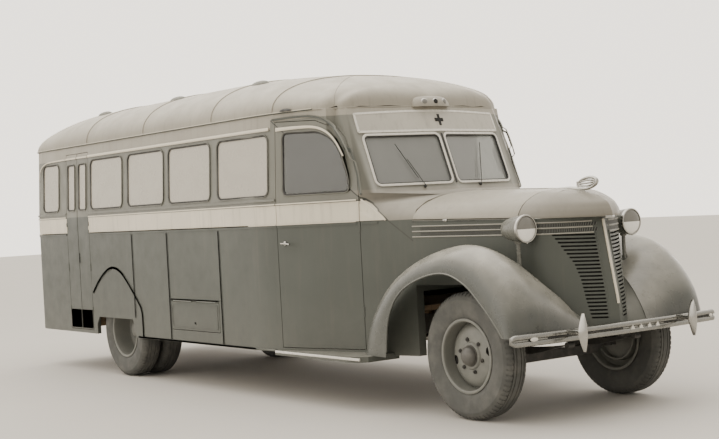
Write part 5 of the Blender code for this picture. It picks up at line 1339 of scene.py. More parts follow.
class TRUCK_OT_headlamps(bpy.types.Operator):
    """Spin the headlamp shells, their bezels and lenses, and stand them on their stalks"""
    bl_idname = "truck.headlamps"
    bl_label = "Headlamps"

    def execute(self, context):
        x, y, z = HEADLAMP
        for side, word in SIDES:
            centre = Vector((fa(x), side * y, z))
            turn = Matrix.Translation(centre) @ Matrix.Rotation(math.radians(-90), 4, "Z")
            shell = moved(turned(LAMP_SHELL, 56), turn)
            foot = Vector((fa(x - 0.09), side * y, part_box("headlamp_" + word)[0].z))
            stalk = rope_mesh([foot + Vector((0, 0, 0.010)), foot + Vector((0, 0, 0.030)), foot + Vector((0, 0, 0.055)),
                               Vector((foot.x, foot.y, z - 0.060))], 0.0150, 16)
            collar = bar((foot.x, foot.y, z - 0.108), (foot.x, foot.y, z - 0.078), 0.024, 24, 0.031)
            obj = piece("lamp_shell_" + word, gather([shell, stalk, collar]), "lamp_paint", 40)
            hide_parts("headlamp_" + word)
            bezel = moved(turned(LAMP_BEZEL + LAMP_BEZEL[:1], 56), turn)
            screw = bar(centre + Vector((-0.008, 0, -0.100)), centre + Vector((0.006, 0, -0.103)), 0.005, 10)
            piece("lamp_bezel_" + word, gather([bezel, screw]), "chrome", 45)
            # each lens is split: the upper half in the darker lens glass, the lower half in pale opaque glass; the
            # split is a painted reflection
            for part, lift, finish in (("upper", 1, "lens"), ("lower", -1, "lens_painted_reflection")):
                angles = [math.radians(90) * i / 12 for i in range(13)]
                glass = turned([(0.0925 * math.sin(a), -0.0040 + 0.0225 * math.cos(a)) for a in angles], 56)
                keep_side(glass, (0, 0, lift * 0.0008), (0, 0, -lift))
                face_away(glass, Vector((0, -0.2, 0)))
                piece(f"lamp_{part}_lens_{word}", moved(glass, turn), finish, 50, slot="glass")
            back = turned(((0.0, -0.0070), (0.0920, -0.0070)), 40)
            face_away(back, Vector((0, -0.2, 0)))
            piece("lamp_back_" + word, moved(back, turn), "seal", 50, slot="")
            # flange under the stalk follows the fender
            rings = []
            for radius, lift in ((0.0235, -0.002), (0.0235, 0.005), (0.0190, 0.009), (0.0155, 0.018)):
                ring = []
                for k in range(24):
                    angle = math.tau * k / 24
                    px, py = foot.x + radius * math.cos(angle), foot.y + radius * math.sin(angle)
                    ring.append((px, py, fender_height(px, abs(py)) + lift))
                rings.append(ring)
            piece("lamp_foot_" + word, ring_mesh(rings), "dark", 40)
        return {"FINISHED"}


WARD_LEAVES = (("ward_door_rear", -6.25, -5.98), ("ward_door_front", -5.97, -5.70))
CAB_WINDOW = ((-1.96, 1.736), (-1.28, 1.736), (-1.30, 1.87), (-1.37, 2.06), (-1.45, 2.17), (-1.58, 2.235),
              (-1.96, 2.25))
GUTTER = ((-2.085, 2.372), (-1.80, 2.376), (-1.62, 2.362), (-1.49, 2.312), (-1.385, 2.215), (-1.305, 2.085),
          (-1.240, 1.930), (-1.195, 1.790), (-1.170, 1.700))


def curve_path(points, steps):
    """Points from the front axle drawn into a smooth path of (x, z)."""
    line = [through([Vector((x, z, 0)) for x, z in points], i / steps) for i in range(steps + 1)]
    return [(fa(p.x), p.y) for p in line]


def rounded_loop(points, radius, steps=6):
    """An outline of (x, z) with its corners rounded off."""
    loop = []
    count = len(points)
    for i, corner in enumerate(points):
        corner = Vector(corner)
        a, b = Vector(points[i - 1]), Vector(points[(i + 1) % count])
        start = corner + (a - corner).normalized() * min(radius, (a - corner).length * 0.45)
        end = corner + (b - corner).normalized() * min(radius, (b - corner).length * 0.45)
        for k in range(steps + 1):
            t = k / steps
            loop.append(tuple(start * (1 - t) ** 2 + corner * 2 * t * (1 - t) + end * t * t))
    return loop


class TRUCK_OT_panes(bpy.types.Operator):
    """Set the ward's, doors' and cab's panes in their rubber"""
    bl_idname = "truck.panes"
    bl_label = "Panes"

    def execute(self, context):
        windows = []
        for side, word in SIDES:
            for i, (x0, x1) in enumerate(SIDE_WINDOWS):
                windows.append((f"{word}_{i}", side, window_outline(fa(x0), fa(x1), WINDOW_BOTTOM, WINDOW_TOP), "body",
                                "pane"))
            outline = rounded_loop([(fa(x), z) for x, z in CAB_WINDOW], 0.05)
            windows.append(("cab_" + word, side, outline, NODE_BODY[word + "_cab_door"], "clear"))
        for node, x0, x1 in WARD_LEAVES:
            outline = window_outline(fa(x0 + 0.05), fa(x1 - 0.05), WINDOW_BOTTOM, 2.222, 0.03)
            windows.append((node, -1, outline, NODE_BODY[node], "pane"))
        for name, side, rim, body, finish in windows:
            glaze(name, lambda x, z, depth: wall_point(x, z, side, -depth), rim, finish, body, 0.007)
            grown = grow_loop(rim, 0.010)
            bead = [wall_point(x, z, side, 0.0005) for x, z in grown]
            piece("pane_bead_" + name, rope_mesh(bead, 0.0035, 6, True), "pillar", 60, body)
        for side, word in SIDES:
            y0, y1 = sorted((side * 0.09, side * 0.49))
            body = NODE_BODY[word + "_rear_door"]
            rim = window_outline(y0, y1, WINDOW_BOTTOM, 2.2)
            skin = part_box("rear_wall")[0].x + 0.006
            glaze("rear_" + word, lambda y, z, depth: (skin + depth, y, z), rim, "pane", body, 0.006)
        return {"FINISHED"}


def grow_loop(loop, by):
    """An outline moved outwards from its own middle."""
    mx = sum(x for x, _ in loop) / len(loop)
    mz = sum(z for _, z in loop) / len(loop)
    grown = []
    count = len(loop)
    for i, (x, z) in enumerate(loop):
        (xa, za), (xb, zb) = loop[i - 1], loop[(i + 1) % count]
        away = Vector((za - zb, xb - xa))
        if away.length < 1e-6:
            away = Vector((x - mx, z - mz))
        away.normalize()
        if away.dot(Vector((x - mx, z - mz))) < 0:
            away.negate()
        grown.append((x + away.x * by, z + away.y * by))
    return grown


class TRUCK_OT_side_trim(bpy.types.Operator):
    """Lay the pale mouldings, rails, gutters and panel joints along both sides"""
    bl_idname = "truck.side_trim"
    bl_label = "Side trim"

    def execute(self, context):
        for side, word in SIDES:
            door = side < 0
            cab = NODE_BODY[word + "_cab_door"]

            def lay(name, path, width, out, finish, angle=40, body="body", base=-0.002):
                piece(name, wall_strip(path, width, side, out, base), finish, angle, body)

            # rail under the windows and the band's edges, broken at the two-leaf door
            for i, (x0, x1) in enumerate(((-7.02, -6.262), (-5.688, -2.058)) if door else ((-7.02, -2.058),)):
                lay(f"window_rail_{word}_{i}", level_path(x0, x1, 1.697), 0.020, 0.006, "pillar")
                lay(f"band_rail_{word}_{i}", level_path(x0, x1, BAND_RAIL_Z), 0.011, 0.0045, "band")
                lay(f"band_foot_{word}_{i}", level_path(x0, x1, BAND_FOOT_Z), 0.007, 0.0035, "band")
            lay(f"band_rail_cab_{word}", level_path(-2.045, -1.212, BAND_RAIL_Z), 0.011, 0.0045, "band", 40, cab)
            lay(f"band_foot_cab_{word}", level_path(-2.045, -1.225, BAND_FOOT_Z), 0.007, 0.0035, "band", 40, cab)
            lay(f"band_tail_{word}", curve_path(BAND_TIP, 20), 0.010, 0.004, "band")
            # pale strip over the windows, thin and curved down at the rear, square-ended before the cab
            lay(f"top_strip_rear_{word}", curve_path(TOP_STRIP_REAR, 24), lambda t: 0.006 + 0.012 * t, 0.005, "band")
            for node, x0, x1 in WARD_LEAVES if door else ():
                lay(f"top_strip_{node}", level_path(x0 + 0.004, x1 - 0.004, 2.297), 0.019, 0.005, "band", 40,
                    NODE_BODY[node])
            lay(f"top_strip_{word}", level_path(-5.688 if door else -6.262, -2.125, 2.299), 0.027, 0.005, "band")
            # cab door: strip over the glass that tapers away down the front post
            lay(f"top_strip_cab_{word}", curve_path(TOP_STRIP_CAB, 26), lambda t: 0.030 - 0.022 * t, 0.004, "band", 40,
                cab)
            shell = merged("cab_shell")
            skin = BVHTree.FromBMesh(shell)
            shell.free()
            # the gutter is in the dark lower paint under a paler lip: its dark is a painted shadow line under the lip
            gutter = curve_path(GUTTER, 44)
            edge = [(x + 0.004, z + 0.010) for x, z in gutter]
            piece(f"gutter_{word}", hug(wall_strip(gutter, 0.014, side, 0.011, -0.001), skin, side), "dark", 50)
            piece(f"gutter_lip_{word}", hug(wall_strip(edge, 0.005, side, 0.013, 0.0), skin, side), "pillar", 50)
            # upright joints between the lower panels
            for i, x in enumerate((-4.70, -3.96, -2.98) if door else (-6.20, -4.70, -3.96, -2.98)):
                low = 0.44 if x != -4.70 else 0.62
                path = [(fa(x), low + (1.455 - low) * k / 12) for k in range(13)]
                lay(f"panel_joint_{word}_{i}", path, 0.016, 0.0022, "dark", 30, base=-0.001)
            lay(f"eyebrow_{word}", curve_path(EYEBROW, 40), 0.024, 0.0062, "pillar", 50)
            low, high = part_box("step_" + word)
            edge = high.y if side > 0 else low.y
            a, b = sorted((edge - side * 0.012, edge + side * 0.003))
            lip = block((low.x + 0.004, a, high.z - 0.026), (high.x - 0.004, b, high.z - 0.006), 0.003)
            piece(f"step_lip_{word}", lip, "bright", 30)
            lay(f"skirt_bead_{word}", level_path(-4.66, -2.14, 0.428), 0.016, 0.004, "dark", base=-0.001)
        return {"FINISHED"}


EYEBROW = ((-5.662, 0.852), (-5.60, 0.905), (-5.495, 0.987), (-5.34, 1.075), (-5.185, 1.118), (-5.03, 1.092),
           (-4.899, 1.017), (-4.73, 0.875), (-4.60, 0.752), (-4.565, 0.70), (-4.549, 0.62), (-4.549, 0.435))
TOP_STRIP_REAR = ((-6.985, 2.085), (-6.962, 2.175), (-6.90, 2.243), (-6.78, 2.281), (-6.60, 2.292), (-6.262, 2.296))
TOP_STRIP_CAB = ((-2.035, 2.288), (-1.80, 2.288), (-1.62, 2.277), (-1.50, 2.232), (-1.405, 2.145), (-1.33, 2.02))
BAND_RAIL_Z, BAND_FOOT_Z = 1.660, 1.4865
BAND_TIP = ((-1.165, 1.660), (-1.128, 1.634), (-1.062, 1.583), (-1.000, 1.532), (-0.945, 1.487))


class TRUCK_OT_doors(bpy.types.Operator):
    """Fit the doors' handles, kick plates and the locker's trim"""
    bl_idname = "truck.doors"
    bl_label = "Door fittings"

    def execute(self, context):
        for side, word in SIDES:
            body = NODE_BODY[word + "_cab_door"]
            # turned handle on its rose, near the door's rear edge
            spot = wall_point(fa(-1.965), 1.33, side, 0.0)
            out = Vector((0, side, 0))
            parts = [dome(spot - out * 0.001, out, 0.020, 0.008, 24), bar(spot, spot + out * 0.030, 0.0075, 14),
                     rope_mesh([spot + out * stand + Vector(along) for stand, along in (
                         (0.030, (-0.012, 0, 0.001)), (0.0325, (0.03, 0, 0)), (0.030, (0.075, 0, -0.003)),
                         (0.024, (0.105, 0, -0.008)))], 0.0075, 12)]
            limit = BODY_HALF + 0.006 - 0.0005
            piece("cab_handle_" + word, held(gather(parts), 1, -limit, limit), "chrome", 50, body)
        for node, x0, x1 in WARD_LEAVES:
            body = NODE_BODY[node]
            rings = []
            for z in (0.470, 0.666):
                rings.append([wall_point(fa(x), z, -1, out) for x, out in
                              ((x0 + 0.012, -0.001), (x0 + 0.013, 0.0018), (x1 - 0.013, 0.0018), (x1 - 0.012, -0.001))])
            piece("kick_plate_" + node, ring_mesh(rings), "band", 30, body)
        spot = wall_point(fa(-5.955), 1.22, -1, 0.0)
        piece("ward_handle", gather([
            block(spot + Vector((-0.006, -0.0055, -0.055)), spot + Vector((0.008, 0.001, 0.055)), 0.002),
            dome(spot + Vector((0.001, -0.004, 0.0)), (0, -1, 0), 0.004, 0.0015, 12),
        ]), "chrome", 40, NODE_BODY["ward_door_front"])
        # locker: bright strip over the flap, knob and a pressed border
        lid = NODE_BODY["locker_flap"]
        piece("locker_strip", wall_strip(level_path(-3.950, -3.030, 0.8235), 0.011, -1, 0.0058), "band", 40)
        spot = wall_point(fa(-3.483), 0.609, -1, 0.0)
        piece("locker_knob", gather([dome(spot, (0, -1, 0), 0.011, 0.0055, 20)]), "chrome", 50, lid)
        rim = rounded_loop([(fa(-3.915), 0.565), (fa(-3.065), 0.565), (fa(-3.065), 0.780), (fa(-3.915), 0.780)], 0.03)
        border = rope_mesh([wall_point(x, z, -1, -0.001) for x, z in rim], 0.0045, 8, True)
        piece("locker_border", border, "dark", 60, lid)
        return {"FINISHED"}


SCREEN_BASE_Z, SCREEN_RAKE, SCREEN_SWEEP = 1.71, 0.40, 0.1867


def screen_point(y, z, out=0.0):
    """A point on the windscreen's leaning face, or a little in front of it."""
    turn = max(-1.0, min(1.0, y / 0.012))
    ahead = Vector((1.0, SCREEN_SWEEP * turn, SCREEN_RAKE)).normalized()
    return Vector((fa(-0.985 - SCREEN_SWEEP * abs(y)) - SCREEN_RAKE * (z - SCREEN_BASE_Z), y, z)) + ahead * out


def screen_strip(path, width, out, base=-0.002, closed=False):
    """A raised strip along a path of (y, z) on the windscreen's face."""
    rings = []
    count = len(path)
    for i, (y, z) in enumerate(path):
        if closed:
            (ya, za), (yb, zb) = path[i - 1], path[(i + 1) % count]
        else:
            (ya, za), (yb, zb) = path[max(i - 1, 0)], path[min(i + 1, count - 1)]
        across = Vector((za - zb, yb - ya)).normalized() * width / 2
        rings.append([screen_point(y + across.x * k, z + across.y * k, off) for k, off in
                      ((1.0, base), (1.0, out * 0.6), (0.75, out), (-0.75, out), (-1.0, out * 0.6), (-1.0, base))])
    if closed:
        rings.append(rings[0])
    bm = ring_mesh(rings, True, not closed)
    if closed:
        weld(bm, 0.00001)
        bmesh.ops.recalc_face_normals(bm, faces=bm.faces)
    return bm


class TRUCK_OT_screen(bpy.types.Operator):
    """Frame the windscreen and its name board, with the cross, wipers and post"""
    bl_idname = "truck.screen"
    bl_label = "Windscreen and name board"

    def execute(self, context):
        for side, word in SIDES:
            y0, y1 = sorted((side * 0.035, side * 0.715))
            pane = window_outline(y0, y1, 1.775, 2.175, 0.035, 6)
            seal = screen_strip(grow_loop(pane, -0.002), 0.012, 0.003, -0.010, True)
            piece("screen_seal_" + word, seal, "seal", 40)
            rim = screen_strip(grow_loop(pane, 0.010), 0.019, 0.0060, -0.002, True)
            piece("screen_frame_" + word, rim, "bright", 40)
        # centre post: a dark line between two pale ones
        piece("screen_post", screen_strip([(0.0, 1.765 + 0.42 * i / 8) for i in range(9)], 0.014, 0.0075), "seal", 40)
        top_line = [-0.742 + 1.484 * i / 40 for i in range(41)]
        top_line = [(y, 2.379 - 0.017 * (abs(y) / 0.742) ** 2) for y in top_line]
        rows = [[screen_point(y, z, off) for z, off in ((2.214, -0.002), (2.214, 0.0022), ((2.214 + top) / 2, 0.0022),
                                                        (top, 0.0022), (top, -0.002))] for y, top in top_line]
        piece("name_board", ring_mesh(rows), "board", 30)
        low_line = [(-0.748 + 1.496 * i / 40, 2.210) for i in range(41)]
        trims = [screen_strip(line, 0.019, 0.0065) for line in
                 [top_line, low_line] + [[(side * 0.745, 2.208), (side * 0.745, 2.29), (side * 0.742, 2.366)]
                                         for side in (-1, 1)]]
        piece("board_trim", gather(trims), "bright", 40)
        # plain dark cross in the middle of the board
        cy, cz, arm, thick = 0.026, 2.300, 0.047, 0.030
        steps = [arm * (i / 6 - 1) for i in range(13)]
        cross = [screen_strip([(cy + step, cz) for step in steps], thick, 0.0075, -0.004),
                 screen_strip([(cy, cz + step) for step in steps], thick, 0.0070, -0.004)]
        piece("cross", gather(cross), "black_and_shade", 30, slot="dark_paint")
        for side, word in SIDES:
            foot = screen_point(side * 0.30, 1.742, 0.004)
            arm = [screen_point(side * y, z, out) for y, z, out in ((0.345, 1.85, 0.016), (0.395, 1.97, 0.012))]
            blade = [screen_point(side * y, z, 0.006) for y, z in ((0.34, 1.81), (0.40, 1.955), (0.46, 2.10))]
            parts = [dome(foot - Vector((0.004, 0, 0)), (1, 0, 0.4), 0.014, 0.016, 16),
                     rope_mesh([foot + Vector((0.012, 0, 0.004))] + arm, 0.003, 8), rope_mesh(blade, 0.0035, 6)]
            piece("wiper_" + word, gather(parts), "seal", 50, slot="")
        return {"FINISHED"}


class TRUCK_OT_roof_trim(bpy.types.Operator):
    """Run the drip rail and the roof's seams, and mount the marker lamps and ventilators"""
    bl_idname = "truck.roof_trim"
    bl_label = "Roof fittings"

    def execute(self, context):
        place = roof_surface()
        plan = drip_plan()
        low, high = plan[0].x, plan[-1].x
        rail = [Vector((p.x, p.y + 0.001, DRIP_Z + 0.005)) for p in plan if p.x < fa(-1.60)]
        rail[0].y = 0.0
        loop = rail[::4] + [rail[-1]]
        for side, word in SIDES:
            piece("drip_rail_" + word, rope_mesh([swap(p, side) for p in loop], 0.0065, 8), "dark", 60)
            piece("drip_lip_" + word, rope_mesh([Vector((p.x, side * (p.y + 0.0040), p.z + 0.0065)) for p in loop
                                                 if p.x > low + 0.04], 0.0028, 6), "band", 60)
        brow = [Vector((p.x, p.y, DRIP_Z)) for p in plan if p.x >= fa(-1.62)]
        brow += [Vector((p.x, -p.y, p.z)) for p in reversed(brow)]
        piece("brow_bead", rope_mesh(brow, 0.0050, 8), "light", 60)
        seams = []
        for x in (-5.70, -4.40, -3.06, -2.08):
            half = half_at(plan, fa(x))
            points = []
            for i in range(61):
                turn = math.radians(-88 + 176 * i / 60)
                share = math.sin(turn)
                points.append(Vector((fa(x), half * share, crown(fa(x), abs(share), low, high) + 0.0005)))
            seams.append(rope_mesh(points, 0.0050, 8, flat=0.006))
        for side in (-1, 1):
            line = [place(0.905, 0.03 + 0.80 * i / 40) for i in range(41)]
            seams.append(rope_mesh([swap(p, side) for p in line], 0.0040, 8))
        seams = held(gather(seams), 2, high=CROWN_Z - 0.0003)
        piece("roof_seams", seams, "roof", 50)
        # marker lamps: rounded housing with two pale lenses and a dark one
        rings = []
        half = 0.195
        for i in range(9):
            turn = math.radians(90) * i / 8
            share = math.cos(turn) ** 0.55
            z = DRIP_Z - 0.004 + 0.093 * math.sin(turn) ** 1.1
            nose = -1.2155 - 0.12 * (1 - share)
            wide = half * (0.45 + 0.55 * share)
            ring = [(fa(-1.42), -wide, z)]
            for k in range(-10, 11):
                spread = math.sin(math.radians(9 * k))
                ring.append((fa(nose - 0.080 * (1 - math.sqrt(max(0.0, 1 - spread * spread)))), wide * spread, z))
            ring.append((fa(-1.42), wide, z))
            rings.append(ring)
        piece("marker_housing", ring_mesh(rings), "light", 50)
        for word, y, finish in (("right", -0.110, "lens"), ("middle", 0.0, "black_and_shade"), ("left", 0.110, "lens")):
            x = fa(-1.219 - 0.080 * (1 - math.sqrt(1 - (y / half) ** 2)))
            out = Vector((1.0, y * 2.6, 0.12)).normalized()
            spot = Vector((x, y, DRIP_Z + 0.036))
            ring = held(dome(spot - out * 0.012, out, 0.030, 0.012, 28), 0, high=fa(-1.215))
            glass = held(dome(spot - out * 0.006, out, 0.0235, 0.009, 28), 0, high=fa(-1.215))
            piece("marker_rim_" + word, ring, "chrome", 50)
            piece("marker_lens_" + word, glass, finish, 50, slot="glass")
        # ventilators on the roof's shoulders, and a small black dome over the driver's door
        vents = []
        for x, share in ((-6.10, 0.62), (-4.43, 0.62), (-2.94, 0.58)):
            for side in (-1, 1):
                spot = Vector((fa(x), side * half_at(plan, fa(x)) * share, crown(fa(x), share, low, high)))
                nudge = 0.02
                rise = (crown(fa(x), share + nudge, low, high) - spot.z) / (nudge * half_at(plan, fa(x)))
                out = Vector((0.0, -side * rise, 1.0)).normalized()
                bm = dome((0, 0, 0), (0, 0, 1), 1.0, 1.0, 28, 5)
                bmesh.ops.scale(bm, vec=(0.120, 0.065, 0.034), verts=bm.verts)
                moved(bm, Matrix.Translation(spot - out * 0.004) @ facing(out))
                vents.append(held(bm, 2, high=CROWN_Z))
        piece("roof_vents", gather(vents), "pillar", 50, slot="light_paint")
        spot = Vector((fa(-1.93), -(half_at(plan, fa(-1.93)) - 0.006), DRIP_Z + 0.020))
        bm = dome((0, 0, 0), (0, 0, 1), 1.0, 1.0, 24, 5)
        bmesh.ops.scale(bm, vec=(0.088, 0.028, 0.026), verts=bm.verts)
        bmesh.ops.translate(bm, vec=spot + Vector((0, 0, -0.008)), verts=bm.verts)
        piece("door_dome", held(bm, 1, -BODY_HALF), "seal", 50, slot="")
        return {"FINISHED"}


SLOT_COUNT, SLOT_TOP, SLOT_PITCH, SLOT_HIGH, SLOT_FALL, SLOT_INNER = 23, 1.316, 0.0271, 0.013, 0.06, 0.078
SLOT_OUTER = ((0.70, 0.180), (0.85, 0.204), (1.00, 0.218), (1.11, 0.243), (1.20, 0.290), (1.32, 0.352))
RIBS = (1.346, 1.388, 1.428)
RIB_FALL = 0.014


def in_table(table, place):
    """The value at a place in a table of (place, value) pairs."""
    for (a, low), (b, high) in zip(table, table[1:]):
        if place <= b:
            return low + (high - low) * max(0.0, place - a) / (b - a)
    return table[-1][1]


def prow_at(z):
    """How far ahead of the front axle the prow is at a height."""
    return in_table([(row[0], row[2]) for row in LOWER_ROWS], z)


def slot_cutters():
    """The grille's rows of slots, with round outer ends, on both sides of the prow."""
    cutters = []
    for row in range(SLOT_COUNT):
        z = SLOT_TOP - SLOT_PITCH * row
        outer = in_table(SLOT_OUTER, z)
        for side in (-1, 1):
            rings = []
            for y, high in ((SLOT_INNER, 1.0), (outer - 0.006, 1.0), (outer - 0.0018, 0.72), (outer, 0.30)):
                rings.append([(fa(x), side * y, z - SLOT_FALL * (x - 0.5) + up * high * SLOT_HIGH / 2)
                              for x, up in ((0.28, -1), (0.86, -1), (0.86, 1), (0.28, 1))])
            cutters.append(ring_mesh(rings))
    return gather(cutters)


def bonnet_band(z0, z1, fall, start, end, out, across=60, up=2):
    """A strip laid just outside the bonnet side, between two heights and two shares of the way round."""
    def place(u, v):
        z = z0 + (z1 - z0) * v
        along = start + (end - start) * u
        point = bonnet_point((z, fall, prow_at(z), 1.0), along)
        ahead = bonnet_point((z, fall, prow_at(z), 1.0), min(along + 0.004, 1.0))
        behind = bonnet_point((z, fall, prow_at(z), 1.0), along - 0.004)
        run = ahead - behind
        away = Vector((-run.y, run.x, 0.0)).normalized()
        return point + away * out
    return sheet(across, up, place)


class TRUCK_OT_grille(bpy.types.Operator):
    """Trim the nose: ribs, louvre bands, centre bead, radiator core and the ornament"""
    bl_idname = "truck.grille"
    bl_label = "Grille and bonnet trim"

    def execute(self, context):
        for side, word in SIDES:
            for i, z in enumerate(RIBS):
                line = []
                for k in range(97):
                    point = bonnet_point((z, RIB_FALL, prow_at(z), 1.0), 0.012 + 0.958 * k / 96)
                    line.append(swap(point, side))
                line = [p for p in line if abs(p.y) > 0.079]
                piece(f"nose_rib_{word}_{i}", rope_mesh(line, 0.0052, 10), "rib_paint", 60)
            for i, (a, b) in enumerate(zip(RIBS, RIBS[1:])):
                for part, start, end in (("side", 0.045, 0.405), ("nose", 0.560, 0.955)):
                    bm = bonnet_band(a + 0.008, b - 0.008, RIB_FALL, start, end, 0.0008)
                    face_away(bm, Vector((fa(0), 0, 1.38)))
                    piece(f"louvre_{word}_{part}_{i}", on_side(bm, side), "louvre", 40)
        bead = [Vector((fa(prow_at(0.805 + 0.615 * i / 24) + 0.0015), 0.0, 0.805 + 0.615 * i / 24)) for i in range(25)]
        piece("grille_bead", rope_mesh(bead, 0.0098, 14), "band", 60)
        # two narrow edges of the middle panel, and the core behind the slots
        for side, word in SIDES:
            line = []
            for i in range(25):
                z = 0.70 + 0.635 * i / 24
                row = (z, 0.0, prow_at(z), 1.0)
                near = min((bonnet_point(row, 0.85 + 0.15 * k / 60) for k in range(61)), key=lambda p: abs(p.y - 0.066))
                line.append(swap(near, side))
            piece("grille_edge_" + word, rope_mesh(line, 0.0045, 8), "dark", 60)
        # the core is a near-black sheet behind the slots: it stands for the radiator and paints the shade behind the
        # grille
        def core(u, v):
            z = 0.66 + 0.70 * v
            return bonnet_point((z, 0.02, prow_at(z) - 0.035, 0.90), 0.62 + 0.38 * u)

        bm = gather([on_side(sheet(24, 12, core), side) for side in (-1, 1)])
        bmesh.ops.recalc_face_normals(bm, faces=bm.faces)
        piece("radiator_core", bm, "black_and_shade", 60)
        # folded beak over the ledge, and the strip along the ridge
        beak = []
        for side in (-1, 1):
            rings = []
            for k in range(13):
                along = 0.955 + 0.045 * k / 12
                lip = bonnet_point(UPPER_ROWS[0], along)
                rings.append([(lip.x + ahead, side * lip.y, lip.z + up) for ahead, up in
                              ((0.002, -0.014), (0.004, -0.006), (0.003, 0.004), (-0.006, 0.004), (-0.006, -0.014))])
            beak.append(ring_mesh(rings))
        piece("beak", gather(beak), "chrome", 50)
        ridge = [-0.69 + 0.89 * i / 30 for i in range(31)]
        ridge = [Vector((fa(x), 0.0, 1.6905 - BONNET_FALL * (x - COWL))) for x in ridge]
        piece("ridge_strip", rope_mesh(ridge, 0.0055, 8), "rib_paint", 60)
        spear, ring = ornament()
        piece("ornament_spear", spear, "chrome", 60)
        piece("ornament_ring", ring, "chrome", 60)
        # hold-down catches at the leaves' lower edges
        for side, word in SIDES:
            catches = []
            for x in (-0.50, 0.02):
                point = bonnet_point((1.470, 0.020, 0.60, 1.0), 0.13 if x < -0.2 else 0.50)
                spot = Vector((point.x, side * (point.y + 0.002), point.z))
                low, high = spot + Vector((-0.024, -0.006, -0.010)), spot + Vector((0.024, 0.007, 0.010))
                catches.append(block(low, high, 0.004))
                catches.append(dome(spot + Vector((0, side * 0.007, 0)), (0, side, 0), 0.006, 0.004, 12))
            piece("bonnet_catches_" + word, gather(catches), "chrome", 50)
        return {"FINISHED"}


def ornament():
    """A plain swept spear that rises into a small ring at the front of the bonnet."""
    def ridge(x):
        if x <= 0.28:
            return 1.6905 - BONNET_FALL * (x - COWL)
        return in_table(((0.28, 1.656), (0.40, 1.637), (0.47, 1.615), (0.54, 1.589)), x)
    rings = []
    for i in range(33):
        share = i / 32
        x = -0.02 + 0.46 * share
        wide = 0.004 + 0.011 * math.sin(math.radians(180) * share ** 1.6)
        high = 0.003 + 0.030 * share ** 2.2
        z = ridge(x) - 0.001
        turns = [math.tau * k / 12 for k in range(12)]
        rings.append([(fa(x), wide * math.cos(turn), z + high * max(0.0, math.sin(turn)) - 0.004 *
                       max(0.0, -math.sin(turn))) for turn in turns])
    hub = Vector((fa(0.470), 0.0, ridge(0.42) + 0.056))
    ring = bmesh.new()
    loops = []
    for i in range(36):
        turn = math.tau * i / 36
        middle = Vector((math.cos(turn) * 0.098, 0.0, math.sin(turn) * 0.040 + math.cos(turn) * 0.012))
        out = Vector((math.cos(turn), 0.0, math.sin(turn)))
        thick = 0.0110 + 0.0030 * math.cos(turn)
        loops.append([ring.verts.new(hub + middle + out * thick * math.cos(math.tau * k / 10) +
                                     Vector((0, thick * math.sin(math.tau * k / 10), 0))) for k in range(10)])
    for a, b in zip(loops, loops[1:] + loops[:1]):
        for k in range(10):
            ring.faces.new((a[k], a[(k + 1) % 10], b[(k + 1) % 10], b[k]))
    bmesh.ops.recalc_face_normals(ring, faces=ring.faces)
    vanes = []
    for lift in (-0.020, 0.0, 0.020):
        places = ((-0.105, 0, lift * 0.5), (0, 0, lift), (0.095, 0, lift * 0.35 + 0.012))
        line = [hub + Vector(place) for place in places]
        vanes.append(rope_mesh([through(line, i / 12) for i in range(13)], 0.0075, 8))
    return ring_mesh(rings), gather([ring] + vanes)


# shares across a seat from -1 to 1, with the roundness of its edge and the depth of its flutes
SEAT_SECTION = [(across, (1 - abs(across) ** 6) ** 0.5,
                 0.006 * abs(math.sin(math.radians(180) * (across + 1) * 3)) ** 0.5)
                for across in (-1 + 2 * k / 28 for k in range(29))]


class TRUCK_OT_seats(bpy.types.Operator):
    """Upholster the two cab seats"""
    bl_idname = "truck.seats"
    bl_label = "Seats"

    def execute(self, context):
        for node in ("driver_seat", "attendant_seat"):
            low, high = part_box(node)
            base = block((low.x + 0.13, low.y + 0.015, low.z), (low.x + 0.50, high.y - 0.015, low.z + 0.205), 0.012, 3)
            middle, half = (low.y + high.y) / 2, (high.y - low.y) / 2
            fold = low.z + 0.25
            cushion, back = [], []
            for i in range(25):
                share = i / 24
                x = low.x + 0.118 + 0.482 * share
                swell = (1 - abs(2 * share - 1) ** 4.5)
                top = low.z + 0.255 + 0.075 * swell + 0.012 * math.cos(math.tau * share * 0.5)
                bottom = low.z + 0.252 - 0.050 * swell ** 0.6
                over = [(x, middle + half * across,
                         fold + (min(top, high.z) - low.z - 0.25 + flute * swell - 0.006) * edge)
                        for across, edge, flute in SEAT_SECTION]
                under = [(x, middle + half * across, fold + (bottom - low.z - 0.25) * edge)
                         for across, edge, flute in SEAT_SECTION[-2:0:-1]]
                cushion.append(over + under)
                z = low.z + 0.27 + (high.z - low.z - 0.27) * share
                leant = low.x + 0.052 + 0.060 * (1 - share)
                thick = 0.052 * (1 - abs(2 * share - 1) ** 5) ** 0.5
                ahead = [(leant + (thick + flute - 0.003) * edge, middle + half * 0.97 * across, z)
                         for across, edge, flute in SEAT_SECTION]
                behind = [(leant - thick * edge, middle + half * 0.97 * across, z)
                          for across, edge, flute in SEAT_SECTION[-2:0:-1]]
                back.append(ahead + behind)
            cushion, back = (held(ring_mesh(rings), 0, low.x, high.x) for rings in (cushion, back))
            obj = piece(node + "_cushion", gather([cushion, back]), "leather", 60)
            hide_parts(node)
            piece(node + "_frame", base, "black", 40, slot="frame_black")
        return {"FINISHED"}


